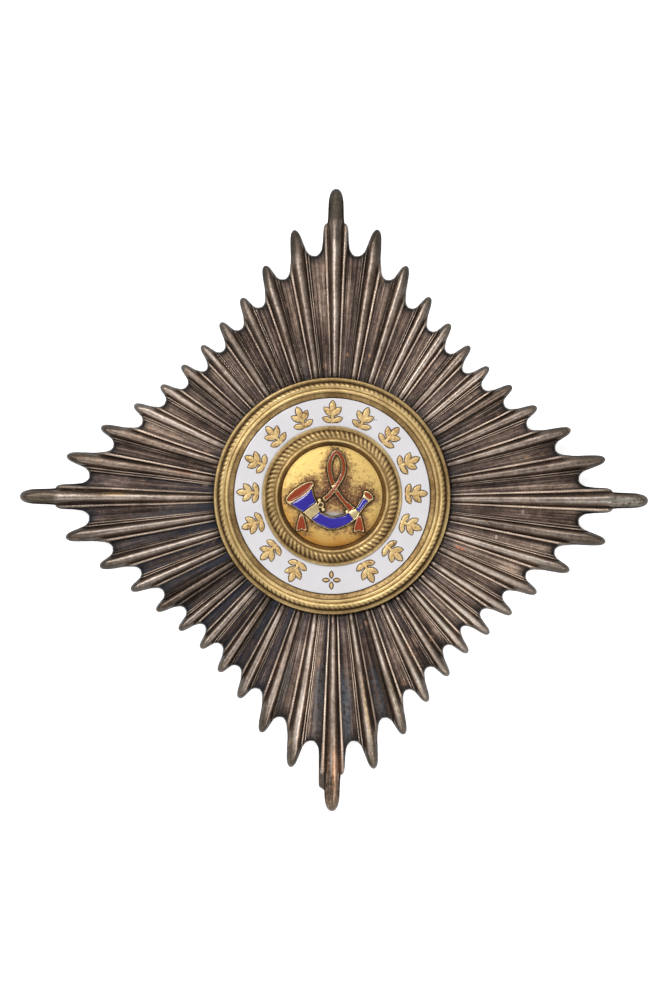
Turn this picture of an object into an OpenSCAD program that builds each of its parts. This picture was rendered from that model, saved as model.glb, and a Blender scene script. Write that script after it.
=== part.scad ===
// A breast star: a domed silver star of fluted rays, with a round gilt medallion on it.
// The star lies face up. Z = 0 is the surface that its four longest rays rest on, +Y is its top.
// Lengths are in millimetres, and angles are in degrees, clockwise from the top ray.

/* [Star] */
// Width of the star, from the left tip to the right tip
star_w = 84; // [76:0.5:92]
// Height of the star, from the top tip to the bottom tip
star_h = 83.2; // [76:0.1:92]
// Rise of the hollow back, from the tips to the centre
dome_rise = 4.4; // [4.2:0.1:5]
// Wall of the star at the bottom of its flutes
star_wall = 1.1; // [0.9:0.05:1.4]
// Height of a ridge above that wall, at the tip of the longest ray
ridge_rise = 1.1; // [0.6:0.05:1.4]
// Angle between two neighbouring short rays
ray_pitch = 8.06; // [7.9:0.01:8.15]

/* [Medallion] */
// Radius over the outer bezel's flange
medallion_r = 15.82; // [14.5:0.01:17]
// Sideways shift of the hand-fitted medallion from the star's centre
medallion_dx = -0.27; // [-0.4:0.01:0.4]
// Shift of the medallion towards the star's top
medallion_dy = 0.32; // [-0.4:0.01:0.4]
// Thickness of the outer bezel's floor
floor_t = 0.5; // [0.4:0.05:0.7]
// Width of the flange outside the outer rope moulding
flange_w = 0.66; // [0.5:0.01:0.8]
// Radius of the outer rope moulding's section
outer_rope_r = 0.43; // [0.3:0.01:0.5]
// Radius of the plain bead inside the outer rope moulding
outer_bead_r = 0.23; // [0.15:0.01:0.3]
// Width of the sloping inner edge that holds the enamel
outer_bevel_w = 0.72; // [0.5:0.01:0.9]

/* [Enamel ring] */
// Width of the white ring that shows between the two bezels
enamel_w = 3.79; // [3.4:0.01:4.2]
// Thickness of the enamelled plate at its edges
enamel_t = 0.6; // [0.5:0.05:0.8]
// Extra height of the enamel's crown halfway across the ring
enamel_crown = 0.08; // [0.04:0.01:0.12]
// Thickness of the gilding laid on the enamel
gilding_t = 0.06; // [0.04:0.01:0.1]
// Height of a gilt sprig, along the medallion's radius
sprig_h = 3; // [2.4:0.05:3.2]
// Angle from one sprig to the next
sprig_pitch = 22; // [20:0.5:22]
// Length of each petal of the gilt quatrefoil
petal_l = 0.8; // [0.6:0.05:0.9]

/* [Centre] */
// Width of the slope from the plain wire down to the gold centre
centre_bevel_w = 0.52; // [0.4:0.01:0.6]
// Width of the flange outside the inner rope moulding
inner_flange_w = 0.45; // [0.3:0.01:0.6]
// Radius of the inner rope moulding's section
inner_rope_r = 0.65; // [0.5:0.01:0.7]
// Radius of the plain wire inside the inner rope moulding
inner_wire_r = 0.17; // [0.12:0.01:0.2]
// Height of the gold centre's edge above the bezel's floor
centre_edge_t = 0.45; // [0.4:0.05:0.6]
// Rise of the gold centre from its edge to its middle
centre_crown = 0.4; // [0.3:0.05:0.5]
// Height of the relief above the middle of the gold centre
relief_t = 0.3; // [0.25:0.05:0.4]
// Depth of the cells that hold the coloured enamel
cell_depth = 0.3; // [0.2:0.02:0.35]
// Width of the gold edge left round each enamel cell
cell_edge = 0.13; // [0.1:0.01:0.16]
// Height that the coloured enamel stands above its gold edge
enamel_proud = 0.04; // [0.02:0.01:0.06]
// Width of the gold rim round each of the horn's two mouths
mouth_edge = 0.2; // [0.14:0.01:0.24]
// Half the width of the hanging cord
cord_half_w = 0.29; // [0.26:0.01:0.32]

/* [Pin] */
// Width of the pin's blade
blade_w = 1.2; // [1:0.05:1.5]
// Thickness of the pin's blade
blade_t = 0.32; // [0.28:0.01:0.34]
// Distance from the star's middle line to the blade's middle
blade_dx = -1.22; // [-1.4:0.01:-1]
// Height of the blade's underside above the resting surface, at its tip
blade_clear = 0.05; // [0.04:0.01:0.06]
// Width of the hinge and of the catch
lug_w = 3.2; // [2.6:0.1:3.6]
// Length of the hinge and of the catch, along the blade
lug_l = 3; // [2.6:0.1:3.4]

/* [Fit] */
// Clearance between pieces that are set into each other
fit_gap = 0.03; // [0.02:0.005:0.04]
// Clearance between the pin's fittings and the star's back
back_gap = 0.22; // [0.2:0.01:0.3]

/* [Hidden] */
$fn = 96;

// Columns: reach of the tip, and of the notch after it, as shares of the longest ray.
// The first row is a long ray, and the last is the short ray next to the diagonal.
RAYS = [[1, 0.783], [0.870, 0.723], [0.781, 0.658], [0.709, 0.620], [0.670, 0.592], [0.648, 0.580]];
TIP = 0;
NOTCH = 1;

// Columns: angle off the ray's axis, lift as a share of the ridge's rise, and share of the way
// from the notch out to the tip. Each row is one line that runs out from the centre.
LONG_RAY_SIDE = [[0, 1, 1], [0.6, 0.9, 0.985], [1.15, 0.6, 0.89], [1.65, 0.05, 0.61], [2.1, 0.34, 0.49],
    [2.7, 0, 0.37], [3.1, -0.1, 0.1]];
FAR_SIDE = [[0, 1, 1], [0.6, 0.9, 0.96], [1.15, 0.6, 0.79], [1.65, 0.05, 0.46], [2.1, 0.34, 0.28],
    [2.65, 0, 0.13], [3.15, -0.1, 0.05]];
NEAR_SIDE = [[2.6, 0, 0.08], [2.06, 0.24, 0.2], [1.65, 0.05, 0.4], [1.15, 0.6, 0.71], [0.6, 0.9, 0.93]];
FLUTE_LIFT = -0.2;

// Shares of the way from the seat out to the tip, and of the full height there
OUTWARD = [[0, 1], [0.45, 1], [0.84, 1], [0.955, 0.84], [1, 0.3]];
BACK_OUTWARD = [1, 0.5];

short_rays = len(RAYS) - 1;
diagonal_angle = 45;

function ray_axis(k) = k == 0 ? 0 : diagonal_angle - (short_rays + 0.5 - k) * ray_pitch;
function between(a, b, share) = a + (b - a) * share;

// A column of the star: angle, reach of the outline, lift of the surface
function column(k, row, side, notch) =
    [ray_axis(k) + side * row[0], between(notch, RAYS[k][TIP], row[2]), row[1]];

// The columns from a ray to the next, and those from the last short ray to the diagonal
function gap_columns(k) = let (notch = RAYS[k][NOTCH], own = k == 0 ? LONG_RAY_SIDE : FAR_SIDE)
    [for (row = own) column(k, row, 1, notch),
     [(ray_axis(k) + ray_axis(k + 1)) / 2 + 0.3, notch, FLUTE_LIFT],
     for (row = NEAR_SIDE) column(k + 1, row, -1, notch)];
function last_columns() = let (k = short_rays, notch = RAYS[k][NOTCH])
    [for (row = FAR_SIDE) column(k, row, 1, notch), [diagonal_angle, notch, FLUTE_LIFT]];
HALF_QUARTER = [for (k = [0 : short_rays - 1]) each gap_columns(k), each last_columns()];
last = len(HALF_QUARTER) - 1;
QUARTER = [each HALF_QUARTER,
    for (i = [last - 1 : -1 : 1]) let (c = HALF_QUARTER[i]) [2 * diagonal_angle - c[0], c[1], c[2]]];
COLUMNS = [for (quarter = [0 : 3], c = QUARTER) [2 * diagonal_angle * quarter + c[0], c[1], c[2]]];
columns = len(COLUMNS);

half_w = star_w / 2;
half_h = star_h / 2;
bezel_body_r = medallion_r - 1.1 * flange_w;
shift_room = norm([medallion_dx, medallion_dy]);
seat_r = bezel_body_r + shift_room + fit_gap;
seat_step_w = 0.15;
rays_start_r = seat_r + seat_step_w;

function back_z(p) = dome_rise * (1 - pow(p[0] / half_w, 2) - pow(p[1] / half_h, 2));
function outward(a) = [sin(a), cos(a)];
function outline_point(c) = c[1] * [half_w * sin(c[0]), half_h * cos(c[0])];
function column_point(c, share) = rays_start_r * outward(c[0]) * (1 - share) + outline_point(c) * share;
function top_z(c, p, height_share) = back_z(p)
    + (star_wall + c[2] * ridge_rise * norm(p) / half_w) * height_share;

back_flat_z = back_z([0, seat_r]);
rib_top_z = max([for (c = COLUMNS) top_z(c, column_point(c, 0), 1)]);
seat_z = rib_top_z - floor_t + fit_gap;

star_points = [
    for (c = COLUMNS) [each seat_r * outward(c[0]), seat_z],
    for (o = OUTWARD, c = COLUMNS) let (p = column_point(c, o[0])) [each p, top_z(c, p, o[1])],
    for (share = BACK_OUTWARD, c = COLUMNS) let (p = column_point(c, share)) [each p, back_z(p)],
    for (c = COLUMNS) [each seat_r * outward(c[0]), back_flat_z]];
rings = len(star_points) / columns;
function strip(ring) = [for (i = [0 : columns - 1]) let (j = (i + 1) % columns, a = ring * columns, b = a + columns)
    each [[a + i, b + i, b + j], [a + i, b + j, a + j]]];

module star_body() color("slategray")
    polyhedron(star_points, [
        [for (i = [0 : columns - 1]) i],
        for (ring = [0 : rings - 2]) each strip(ring),
        [for (i = [columns - 1 : -1 : 0]) (rings - 1) * columns + i]]);

// Radii and heights of the medallion. Its heights count from the underside of the outer bezel.
flange_z = floor_t;
flange_t = 0.34;
enamel_lip = 0.05;
outer_rope_lift = 0.15;
outer_bead_lift = 0.12;
outer_rope_at = medallion_r - flange_w - outer_rope_r;
outer_bead_at = outer_rope_at - outer_rope_r - outer_bead_r;
bevel_top_r = outer_bead_at - outer_bead_r;
enamel_outer_r = bevel_top_r - outer_bevel_w;
enamel_inner_r = enamel_outer_r - enamel_w;
enamel_z = floor_t + fit_gap;
enamel_top_z = enamel_z + enamel_t;
outer_rope_z = enamel_top_z + outer_rope_lift;
outer_bead_z = outer_rope_z + outer_bead_lift;

module on_seat() translate([medallion_dx, medallion_dy, seat_z]) children();
module ring_wire(at_r, at_z, wire_r) rotate_extrude() translate([at_r, at_z]) circle(wire_r, $fn = 32);

module outer_bezel() color("goldenrod") on_seat() union() {
    rotate_extrude() polygon([[0, fit_gap], [bezel_body_r, fit_gap], [bezel_body_r, flange_z],
        [medallion_r, flange_z], [medallion_r, flange_z + flange_t * 0.6],
        [medallion_r - flange_t * 0.5, flange_z + flange_t], [outer_rope_at + outer_rope_r * 0.9, flange_z + flange_t],
        [outer_rope_at, outer_rope_z], [outer_bead_at, outer_bead_z], [bevel_top_r, outer_bead_z],
        [enamel_outer_r, enamel_top_z + enamel_lip], [enamel_outer_r, floor_t], [0, floor_t]]);
    ring_wire(outer_rope_at, outer_rope_z, outer_rope_r);
    ring_wire(outer_bead_at, outer_bead_z, outer_bead_r);
}

inner_rope_at = enamel_inner_r - inner_flange_w - inner_rope_r;
inner_wire_at = inner_rope_at - inner_rope_r - inner_wire_r;
centre_r = inner_wire_at - inner_wire_r - centre_bevel_w;

// The enamelled plate. The inner bezel's flange covers a narrow strip along its inner edge.
inner_lap = 0.3;
plate_inner_r = enamel_inner_r - inner_lap;
plate_outer_r = enamel_outer_r - fit_gap;
crown_steps = 6;
function crown_z(r) = enamel_top_z
    + enamel_crown * (1 - pow(2 * (r - plate_inner_r) / (plate_outer_r - plate_inner_r) - 1, 2));

module enamel_ring() color("white") on_seat()
    rotate_extrude() polygon([[plate_inner_r, enamel_z],
        for (i = [0 : crown_steps]) let (r = between(plate_inner_r, plate_outer_r, i / crown_steps)) [r, crown_z(r)],
        [plate_outer_r, enamel_z]]);

// Gilt ornaments on the enamel, in place of lettering: sprigs of leaves round the ring, and four petals
gilt_mid_r = (enamel_inner_r + enamel_outer_r) / 2;
gilding_z = crown_z(gilt_mid_r) + fit_gap / 2;

// A pointed leaf from the origin along +Y
module leaf(l, w) let (arc_r = (l * l + w * w) / (4 * w))
    intersection() {
        translate([arc_r - w / 2, l / 2]) circle(arc_r);
        translate([w / 2 - arc_r, l / 2]) circle(arc_r);
    }

// Columns: place up the stem, length and width as shares of the sprig's height, angle off the stem
LEAVES = [[0.5, 0.5, 0.26, 0], [0.34, 0.52, 0.24, 46], [0.34, 0.52, 0.24, -46],
    [0.08, 0.46, 0.22, 70], [0.08, 0.46, 0.22, -70]];
stem_half_share = 0.04;

module sprig() {
    polygon(sprig_h * [[-2 * stem_half_share, 0], [-stem_half_share, 0.62], [stem_half_share, 0.62],
        [2 * stem_half_share, 0]]);
    for (row = LEAVES)
        translate([0, sprig_h * row[0]]) rotate(row[3]) leaf(sprig_h * row[1], sprig_h * row[2]);
}

sprigs_each_side = 7;
sprig_ends = [gilt_mid_r - sprig_h / 2, gilt_mid_r + sprig_h / 2];
module gilt_sprigs() color("gold") on_seat()
    for (i = [-sprigs_each_side : sprigs_each_side])
        rotate(-i * sprig_pitch) translate([0, sprig_ends[0], gilding_z])
            linear_extrude(gilding_t) sprig();

petal_from = 0.4 * petal_l;
module gilt_quatrefoil() color("gold") on_seat() translate([0, -gilt_mid_r, gilding_z])
    for (turn = [0 : 90 : 270])
        rotate(turn) translate([0, petal_from]) linear_extrude(gilding_t) leaf(petal_l, petal_l * 0.55);

// The inner bezel stands in the enamelled plate's hole and laps over the edge of the gold centre
inner_body_r = plate_inner_r - fit_gap;
inner_flange_z = crown_z(enamel_inner_r) + fit_gap;
inner_flange_t = 0.12;
inner_rope_lift = 0.2;
inner_rope_z = inner_flange_z + inner_rope_lift;
inner_wire_z = inner_rope_z + inner_rope_r / 2;
centre_lap = 0.2;
plate_z = enamel_z;
centre_edge_z = floor_t + centre_edge_t;

module inner_bezel() color("goldenrod") on_seat() union() {
    rotate_extrude() polygon([[centre_r + centre_lap + fit_gap, plate_z], [inner_body_r, plate_z],
        [inner_body_r, inner_flange_z], [enamel_inner_r, inner_flange_z],
        [enamel_inner_r, inner_flange_z + inner_flange_t], [inner_rope_at + inner_rope_r, inner_rope_z],
        [inner_rope_at, inner_rope_z + inner_rope_r / 2], [inner_wire_at, inner_wire_z],
        [inner_wire_at - inner_wire_r, inner_wire_z], [centre_r, centre_edge_z + fit_gap],
        [centre_r + centre_lap + fit_gap, centre_edge_z + fit_gap]]);
    ring_wire(inner_rope_at, inner_rope_z, inner_rope_r);
    ring_wire(inner_wire_at, inner_wire_z, inner_wire_r);
}

// Smooth curve through the rows of a table, at row number t
function row_at(rows, i) = rows[min(max(i, 0), len(rows) - 1)];
function curve(rows, t) = let (i = floor(min(t, len(rows) - 1.001)), f = t - i,
        a = row_at(rows, i - 1), b = row_at(rows, i), c = row_at(rows, i + 1), d = row_at(rows, i + 2))
    (2 * b + (c - a) * f + (2 * a - 5 * b + 4 * c - d) * f * f + (3 * b - a - 3 * c + d) * f * f * f) / 2;
function heading(rows, t) = let (d = curve(rows, min(t + 0.02, len(rows) - 1)) - curve(rows, max(t - 0.02, 0)))
    [d[0], d[1]] / norm([d[0], d[1]]);

// The outline of a strip along such a curve, with a half-width in each row's third column
function strip_side(rows, from, to, inset, side, steps) = [for (i = [0 : steps])
    let (t = between(from, to, i / steps), p = curve(rows, t), h = heading(rows, t))
    [p[0], p[1]] + side * (p[2] - inset) * [-h[1], h[0]]];
function reversed(list) = [for (i = [len(list) - 1 : -1 : 0]) list[i]];
rows_per_mm = 0.6;
function strip_outline(rows, from, to, inset, steps) = let (end = inset * rows_per_mm)
    concat(strip_side(rows, from + end, to - end, inset, 1, steps),
        reversed(strip_side(rows, from + end, to - end, inset, -1, steps)));

// Columns: place across, place up, half-width. Shares of the gold centre's radius, from bell to mouthpiece.
HORN = centre_r * [[-0.655, 0.045, 0.300], [-0.548, -0.100, 0.228], [-0.442, -0.223, 0.172],
    [-0.325, -0.385, 0.120], [-0.202, -0.473, 0.124], [0.020, -0.537, 0.125], [0.242, -0.481, 0.108],
    [0.379, -0.406, 0.098], [0.445, -0.345, 0.088], [0.513, -0.286, 0.062], [0.668, -0.068, 0.077],
    [0.722, 0.012, 0.105]];
// Rows of HORN between which each blue cell lies
BLUE_CELLS = [[0.5, 2.05], [2.95, 7.1], [8.95, 10.1]];
// Columns: place across, place up, half-length, half-width and tilt of the horn's two mouths
MOUTHS = [[-0.640, 0.078, 0.330, 0.105, 35], [0.722, 0.012, 0.118, 0.064, -42]];

// Columns: place across, place up, both as shares of the gold centre's radius, and share of the cord's width
CORD_PLACES = [[-0.158, -0.073, 1], [-0.040, 0.040, 1], [0.060, 0.170, 1], [0.150, 0.310, 1],
    [0.212, 0.450, 1], [0.230, 0.600, 1], [0.190, 0.770, 1], [0.085, 0.878, 1], [-0.015, 0.770, 1],
    [-0.057, 0.600, 1], [-0.045, 0.450, 1], [0.000, 0.290, 1], [0.060, 0.140, 1], [0.150, 0.000, 1],
    [0.255, -0.125, 1], [0.325, -0.195, 1.3], [0.400, -0.270, 1.5]];
CORD = [for (p = CORD_PLACES) [centre_r * p[0], centre_r * p[1], cord_half_w * p[2]]];
cord_rows = len(CORD) - 1;
cord_top = 7;
crossing_from = 10.4;
crossing_to = 12.3;
// Columns: place across, place up, and radius of the horn's loop and of the knobs beside its collars
LOOP_AND_KNOBS = centre_r * [[-0.222, -0.180, 0.066], [-0.252, -0.085, 0.045], [-0.175, -0.268, 0.045],
    [0.300, -0.310, 0.045]];
TASSELS = centre_r * [[-0.604, -0.375], [0.541, -0.390]];
tassel_h = 0.335 * centre_r;

relief_top_z = centre_edge_z + centre_crown + relief_t;
relief_root_z = plate_z + centre_edge_t / 4;
cell_floor_z = relief_top_z - cell_depth;
coloured_z = cell_floor_z + fit_gap;
coloured_t = cell_depth - fit_gap + enamel_proud;
horn_steps = 16;
cord_steps = 30;

// A point on the horn's mouth: an ellipse, turned in place
module mouth(m, inset) translate(centre_r * [m[0], m[1]]) rotate(m[4])
    polygon([for (a = [0 : 15 : 345]) [(centre_r * m[2] - inset) * cos(a), (centre_r * m[3] - inset) * sin(a)]]);

// A tassel that hangs from its place: a narrow neck, a wide skirt and a notch in the hem
// Columns: half-width as a share of the skirt's, and height as a share of the tassel's
TASSEL_SIDE = [[0.35, 0], [0.55, -0.22], [0.78, -0.45], [0.95, -0.72], [1, -0.88], [0.82, -0.98], [0.55, -1],
    [0.25, -0.92]];
hem_notch = 0.16;
module tassel(inset) let (h = tassel_h - 2 * inset, w = 0.315 * tassel_h - inset)
    translate([0, -inset]) polygon([for (row = TASSEL_SIDE) [w * row[0], h * row[1]],
        [0, h * (hem_notch - 1)], for (row = reversed(TASSEL_SIDE)) [-w * row[0], h * row[1]]]);
module blue_cells(inset) for (cell = BLUE_CELLS)
    polygon(strip_outline(HORN, cell[0], cell[1], inset, horn_steps));
module cord_cells(inset) {
    polygon(strip_outline(CORD, 0.2, crossing_from, inset, cord_steps));
    polygon(strip_outline(CORD, crossing_to, cord_rows, inset, 8));
}

module relief_outline() {
    polygon(strip_outline(HORN, 0, len(HORN) - 1, 0, 3 * horn_steps));
    for (m = MOUTHS) mouth(m, 0);
    polygon(strip_outline(CORD, 0, cord_top, 0, cord_steps));
    polygon(strip_outline(CORD, cord_top, cord_rows, 0, cord_steps));
    for (row = LOOP_AND_KNOBS) translate([row[0], row[1]]) circle(row[2]);
    for (at = TASSELS) translate(at) tassel(0);
}

dome_steps = 5;
module gold_centre() color("goldenrod") on_seat() difference() {
    union() {
        rotate_extrude() polygon([[0, plate_z], [centre_r + centre_lap, plate_z],
            for (i = [dome_steps : -1 : 0]) let (r = (centre_r + centre_lap) * i / dome_steps)
                [r, centre_edge_z + centre_crown * (1 - pow(i / dome_steps, 2))]]);
        translate([0, 0, relief_root_z]) linear_extrude(relief_top_z - relief_root_z) relief_outline();
    }
    translate([0, 0, cell_floor_z]) linear_extrude(2 * cell_depth) {
        blue_cells(cell_edge - fit_gap);
        for (m = MOUTHS) mouth(m, mouth_edge - fit_gap);
        cord_cells(cell_edge - fit_gap);
        for (at = TASSELS) translate(at) tassel(cell_edge - fit_gap);
    }
}

module coloured(name) color(name) on_seat() translate([0, 0, coloured_z]) linear_extrude(coloured_t) children();
module blue_enamel() coloured("mediumblue") blue_cells(cell_edge);
module red_enamel() coloured("firebrick") for (m = MOUTHS) mouth(m, mouth_edge);
module cord_enamel() coloured("firebrick") cord_cells(cell_edge);
module tassel_enamel() coloured("firebrick") for (at = TASSELS) translate(at) tassel(cell_edge);

// The pin on the back: a hinge near the top, a flat blade down to the lowest ray, and a catch
hinge_y = 0.7 * half_h;
catch_y = -0.7 * half_h;
blade_end_y = -0.942 * half_h;
hinge_top_z = back_z([abs(blade_dx) + lug_w / 2, hinge_y + lug_l / 2]);
catch_top_z = back_z([abs(blade_dx) + lug_w / 2, catch_y - lug_l / 2]);
blade_slope = atan((hinge_top_z * 0.45) / (hinge_y - blade_end_y));
blade_l = (hinge_y - blade_end_y) / cos(blade_slope);
lug_low_z = blade_clear;
blade_flare = 0.15;

module lug(at_y, top) translate([blade_dx - lug_w / 2, at_y - lug_l / 2, lug_low_z])
    cube([lug_w, lug_l, top - back_gap - lug_low_z]);

module brooch_pin() color("darkgray") union() {
    translate([blade_dx, blade_end_y, blade_clear]) rotate([blade_slope, 0, 0])
        linear_extrude(blade_t) polygon([[-blade_w / 2, blade_w / 2], [blade_w / 4, 0], [blade_w / 2, blade_w / 4],
            [blade_w / 2 + blade_flare, blade_l], [-blade_w / 2 - blade_flare, blade_l]]);
    lug(hinge_y, hinge_top_z);
    lug(catch_y, catch_top_z);
}

star_body();
outer_bezel();
enamel_ring();
gilt_sprigs();
gilt_quatrefoil();
inner_bezel();
gold_centre();
blue_enamel();
red_enamel();
cord_enamel();
tassel_enamel();
brooch_pin();
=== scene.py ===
import math

import bmesh
import bpy
import numpy as np
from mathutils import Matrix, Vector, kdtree


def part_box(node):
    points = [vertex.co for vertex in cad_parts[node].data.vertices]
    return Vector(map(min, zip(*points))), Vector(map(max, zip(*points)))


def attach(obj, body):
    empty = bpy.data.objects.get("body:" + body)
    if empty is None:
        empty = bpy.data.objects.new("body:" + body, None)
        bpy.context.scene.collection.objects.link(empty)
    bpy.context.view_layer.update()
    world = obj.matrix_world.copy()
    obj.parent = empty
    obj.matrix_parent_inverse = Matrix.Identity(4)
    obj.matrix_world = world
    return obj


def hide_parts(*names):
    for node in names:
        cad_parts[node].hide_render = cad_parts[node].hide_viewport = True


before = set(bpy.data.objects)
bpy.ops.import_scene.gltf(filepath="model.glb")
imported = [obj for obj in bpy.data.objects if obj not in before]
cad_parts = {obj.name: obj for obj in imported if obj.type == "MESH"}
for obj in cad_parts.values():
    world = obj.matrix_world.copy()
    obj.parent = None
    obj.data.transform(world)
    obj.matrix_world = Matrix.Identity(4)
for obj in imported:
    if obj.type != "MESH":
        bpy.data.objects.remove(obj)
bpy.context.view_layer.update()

MM = 0.001

# The view. The star lies on its back and the camera looks straight down on it from far above,
# turned by the small angle that the star is turned by in the photograph.
STAR_SPAN, STAR_SPAN_PIXELS, FRAME_PIXELS_HIGH = 84, 628, 1000
PIXEL = STAR_SPAN / STAR_SPAN_PIXELS * MM
STAR_ABOVE_MIDDLE = 1.5 * PIXEL
CAMERA_HEIGHT, CAMERA_TURN, SENSOR = 1.5, math.radians(0.4), 36
# Height over the floor at which one pixel of the frame is as wide as PIXEL
TRUE_HEIGHT = 3 * MM


def in_scene(name, data):
    made = bpy.data.objects.new(name, data)
    bpy.context.scene.collection.objects.link(made)
    return made


camera = in_scene("camera", bpy.data.cameras.new("camera"))
camera.data.sensor_width = SENSOR
camera.data.lens = SENSOR * CAMERA_HEIGHT / (FRAME_PIXELS_HIGH * PIXEL)
camera.data.clip_start, camera.data.clip_end = 0.1, 10
camera.location = (0, -STAR_ABOVE_MIDDLE, CAMERA_HEIGHT + TRUE_HEIGHT)
camera.rotation_euler = (0, 0, CAMERA_TURN)
bpy.context.scene.camera = camera
bpy.context.scene.view_settings.view_transform = "Standard"

# The light. A broad soft light hangs to the upper left, weaker ones stand beyond the top ray and to
# the lower right, the weakest to the lower left, and a dim room with pale walls shows in the metal.
SOFT_LIGHTS = [
    # name, place in metres, width, height, watts
    ("upper left", (-0.62, 0.55, 1.15), 0.75, 0.55, 12.5),
    ("top", (0.2, 1.1, 0.95), 0.7, 0.4, 8),
    ("lower left", (-0.55, -0.95, 0.9), 0.5, 0.5, 5),
    ("lower right", (0.95, -0.7, 0.95), 0.5, 0.5, 8),
]
for name, place, width, height, watts in SOFT_LIGHTS:
    lamp = bpy.data.lights.new(name, "AREA")
    lamp.shape, lamp.size, lamp.size_y, lamp.energy = "RECTANGLE", width, height, watts
    holder = in_scene(name, lamp)
    holder.location = place
    holder.rotation_euler = holder.location.to_track_quat("Z", "Y").to_euler()


class Wire:
    """One output of a finish's nodes. Wires and numbers add, subtract and multiply as values do."""

    def __init__(self, finish, socket):
        self.finish, self.socket = finish, socket

    def maths(self, operation, *values):
        inputs = dict(enumerate(values))
        return self.finish.node("ShaderNodeMath", {"operation": operation}, inputs)

    def __add__(self, other):
        return self.maths("ADD", self, other)

    def __sub__(self, other):
        return self.maths("SUBTRACT", self, other)

    def __rsub__(self, other):
        return self.maths("SUBTRACT", other, self)

    def __mul__(self, other):
        return self.maths("MULTIPLY", self, other)

    __radd__, __rmul__ = __add__, __mul__

    def sine(self):
        return self.maths("SINE", self)

    def kept(self):
        """The value kept between 0 and 1."""
        return self.finish.node("ShaderNodeClamp", {}, {"Value": self})

    def spread(self, low, high):
        """0 at low, 1 at high, and smooth between them."""
        return self.finish.node("ShaderNodeMapRange", {"interpolation_type": "SMOOTHSTEP"},
                                {"Value": self, "From Min": low, "From Max": high})


class Finish:
    """A material, or the room's light, whose nodes are added by node()."""

    def __init__(self, name, owner=None):
        self.material = owner or bpy.data.materials.new(name)
        self.material.use_nodes = True
        self.tree = self.material.node_tree
        self.tree.nodes.clear()

    def node(self, kind, settings, inputs, output=0):
        made = self.tree.nodes.new(kind)
        for name, value in settings.items():
            if name == "stops":
                while len(made.color_ramp.elements) < len(value):
                    made.color_ramp.elements.new(1)
                for element, (place, colour) in zip(made.color_ramp.elements, value):
                    element.position, element.color = place, (*colour, 1)
            else:
                setattr(made, name, value)
        for name, value in inputs.items():
            if isinstance(value, Wire):
                self.tree.links.new(value.socket, made.inputs[name])
            else:
                made.inputs[name].default_value = value
        return Wire(self, made.outputs[output]) if made.outputs else None

    def vector(self, operation, *values, output=0, **inputs):
        """A sum done on places or on colours."""
        return self.node("ShaderNodeVectorMath", {"operation": operation},
                         {**dict(enumerate(values)), **inputs}, output)

    def place(self):
        return self.node("ShaderNodeTexCoord", {}, {}, "Object")

    def noise(self, vector, scale, detail, rough):
        return self.node("ShaderNodeTexNoise", {}, {"Vector": vector, "Scale": scale,
                                                    "Detail": detail, "Roughness": rough})

    def shape(self, name):
        """A number that the mesh carries at each of its points."""
        return self.node("ShaderNodeAttribute", {"attribute_name": name}, {}, "Fac")

    def ramp(self, value, stops):
        return self.node("ShaderNodeValToRGB", {"stops": stops}, {"Fac": value})

    def blend(self, share, first, second, way="MIX"):
        """Two colours mixed: the first where share is 0, the second where it is 1."""
        colours = [(*c, 1) if isinstance(c, tuple) else c for c in (first, second)]
        return self.node("ShaderNodeMix", {"data_type": "RGBA", "blend_type": way},
                         {0: share, 6: colours[0], 7: colours[1]}, 2)

    def bump(self, height, strength, distance):
        return self.node("ShaderNodeBump", {}, {"Height": height, "Strength": strength,
                                                "Distance": distance})

    def surface(self, **inputs):
        """The finish itself. An underscore stands for the space in the name of an input."""
        named = {name.replace("_", " "): (*value, 1) if isinstance(value, tuple) else value
                 for name, value in inputs.items()}
        shader = self.node("ShaderNodeBsdfPrincipled", {}, named)
        self.node("ShaderNodeOutputMaterial", {}, {"Surface": shader})
        return self.material


# The room. Pale walls stand round the star at its own level, and a dim ceiling hangs over it. They
# show in the metal and in the gloss of the enamel.
ROOM_STRENGTH = 0.6
# From the star's level to straight overhead
ROOM_TONES = [(0.0, (0.5, 0.5, 0.5)), (0.45, (0.62, 0.61, 0.6)), (0.72, (0.3, 0.3, 0.3)),
              (0.9, (0.2, 0.2, 0.2)), (0.99, (0.26, 0.26, 0.26))]
room = bpy.data.worlds.new("room")
bpy.context.scene.world = room
walls = Finish("room", room)
direction = walls.node("ShaderNodeTexCoord", {}, {}, "Generated")
up = walls.node("ShaderNodeSeparateXYZ", {}, {"Vector": direction}, 2)
backdrop = walls.node("ShaderNodeBackground", {}, {"Color": walls.ramp(up, ROOM_TONES),
                                                   "Strength": ROOM_STRENGTH})
walls.node("ShaderNodeOutputWorld", {}, {"Surface": backdrop})

# The floor. A pale translucent sheet that the star lies on, much wider than the view, and lit from
# below so that no shadow shows.
FLOOR_REACH = 3.0
FLOOR_TONE, FLOOR_GLOW = (0.6, 0.6, 0.6), 0.85
sheet = bpy.data.meshes.new("floor")
corners = ((-1, -1), (1, -1), (1, 1), (-1, 1))
sheet.from_pydata([(x * FLOOR_REACH, y * FLOOR_REACH, 0) for x, y in corners], [], [(0, 1, 2, 3)])
floor = in_scene("floor", sheet)
sheet.materials.append(Finish("white paper").surface(
    Base_Color=FLOOR_TONE, Roughness=0.9, Specular_IOR_Level=0.1,
    Emission_Color=(1, 1, 1), Emission_Strength=FLOOR_GLOW))

# Star body. One piece of silver, struck in a die, with 44 rays whose ridges and thin ribs run out
# from the centre. The tarnish is dark in the flutes and worn off the ridges.
STAR_W, STAR_H = 84.0, 83.2
DOME_RISE, WALL, RIDGE_RISE = 4.4, 1.1, 1.1
# Degrees from ray to ray, and short rays between a long ray and the diagonal
RAY_PITCH, SHORT_RAYS = 8.06, 5
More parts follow.
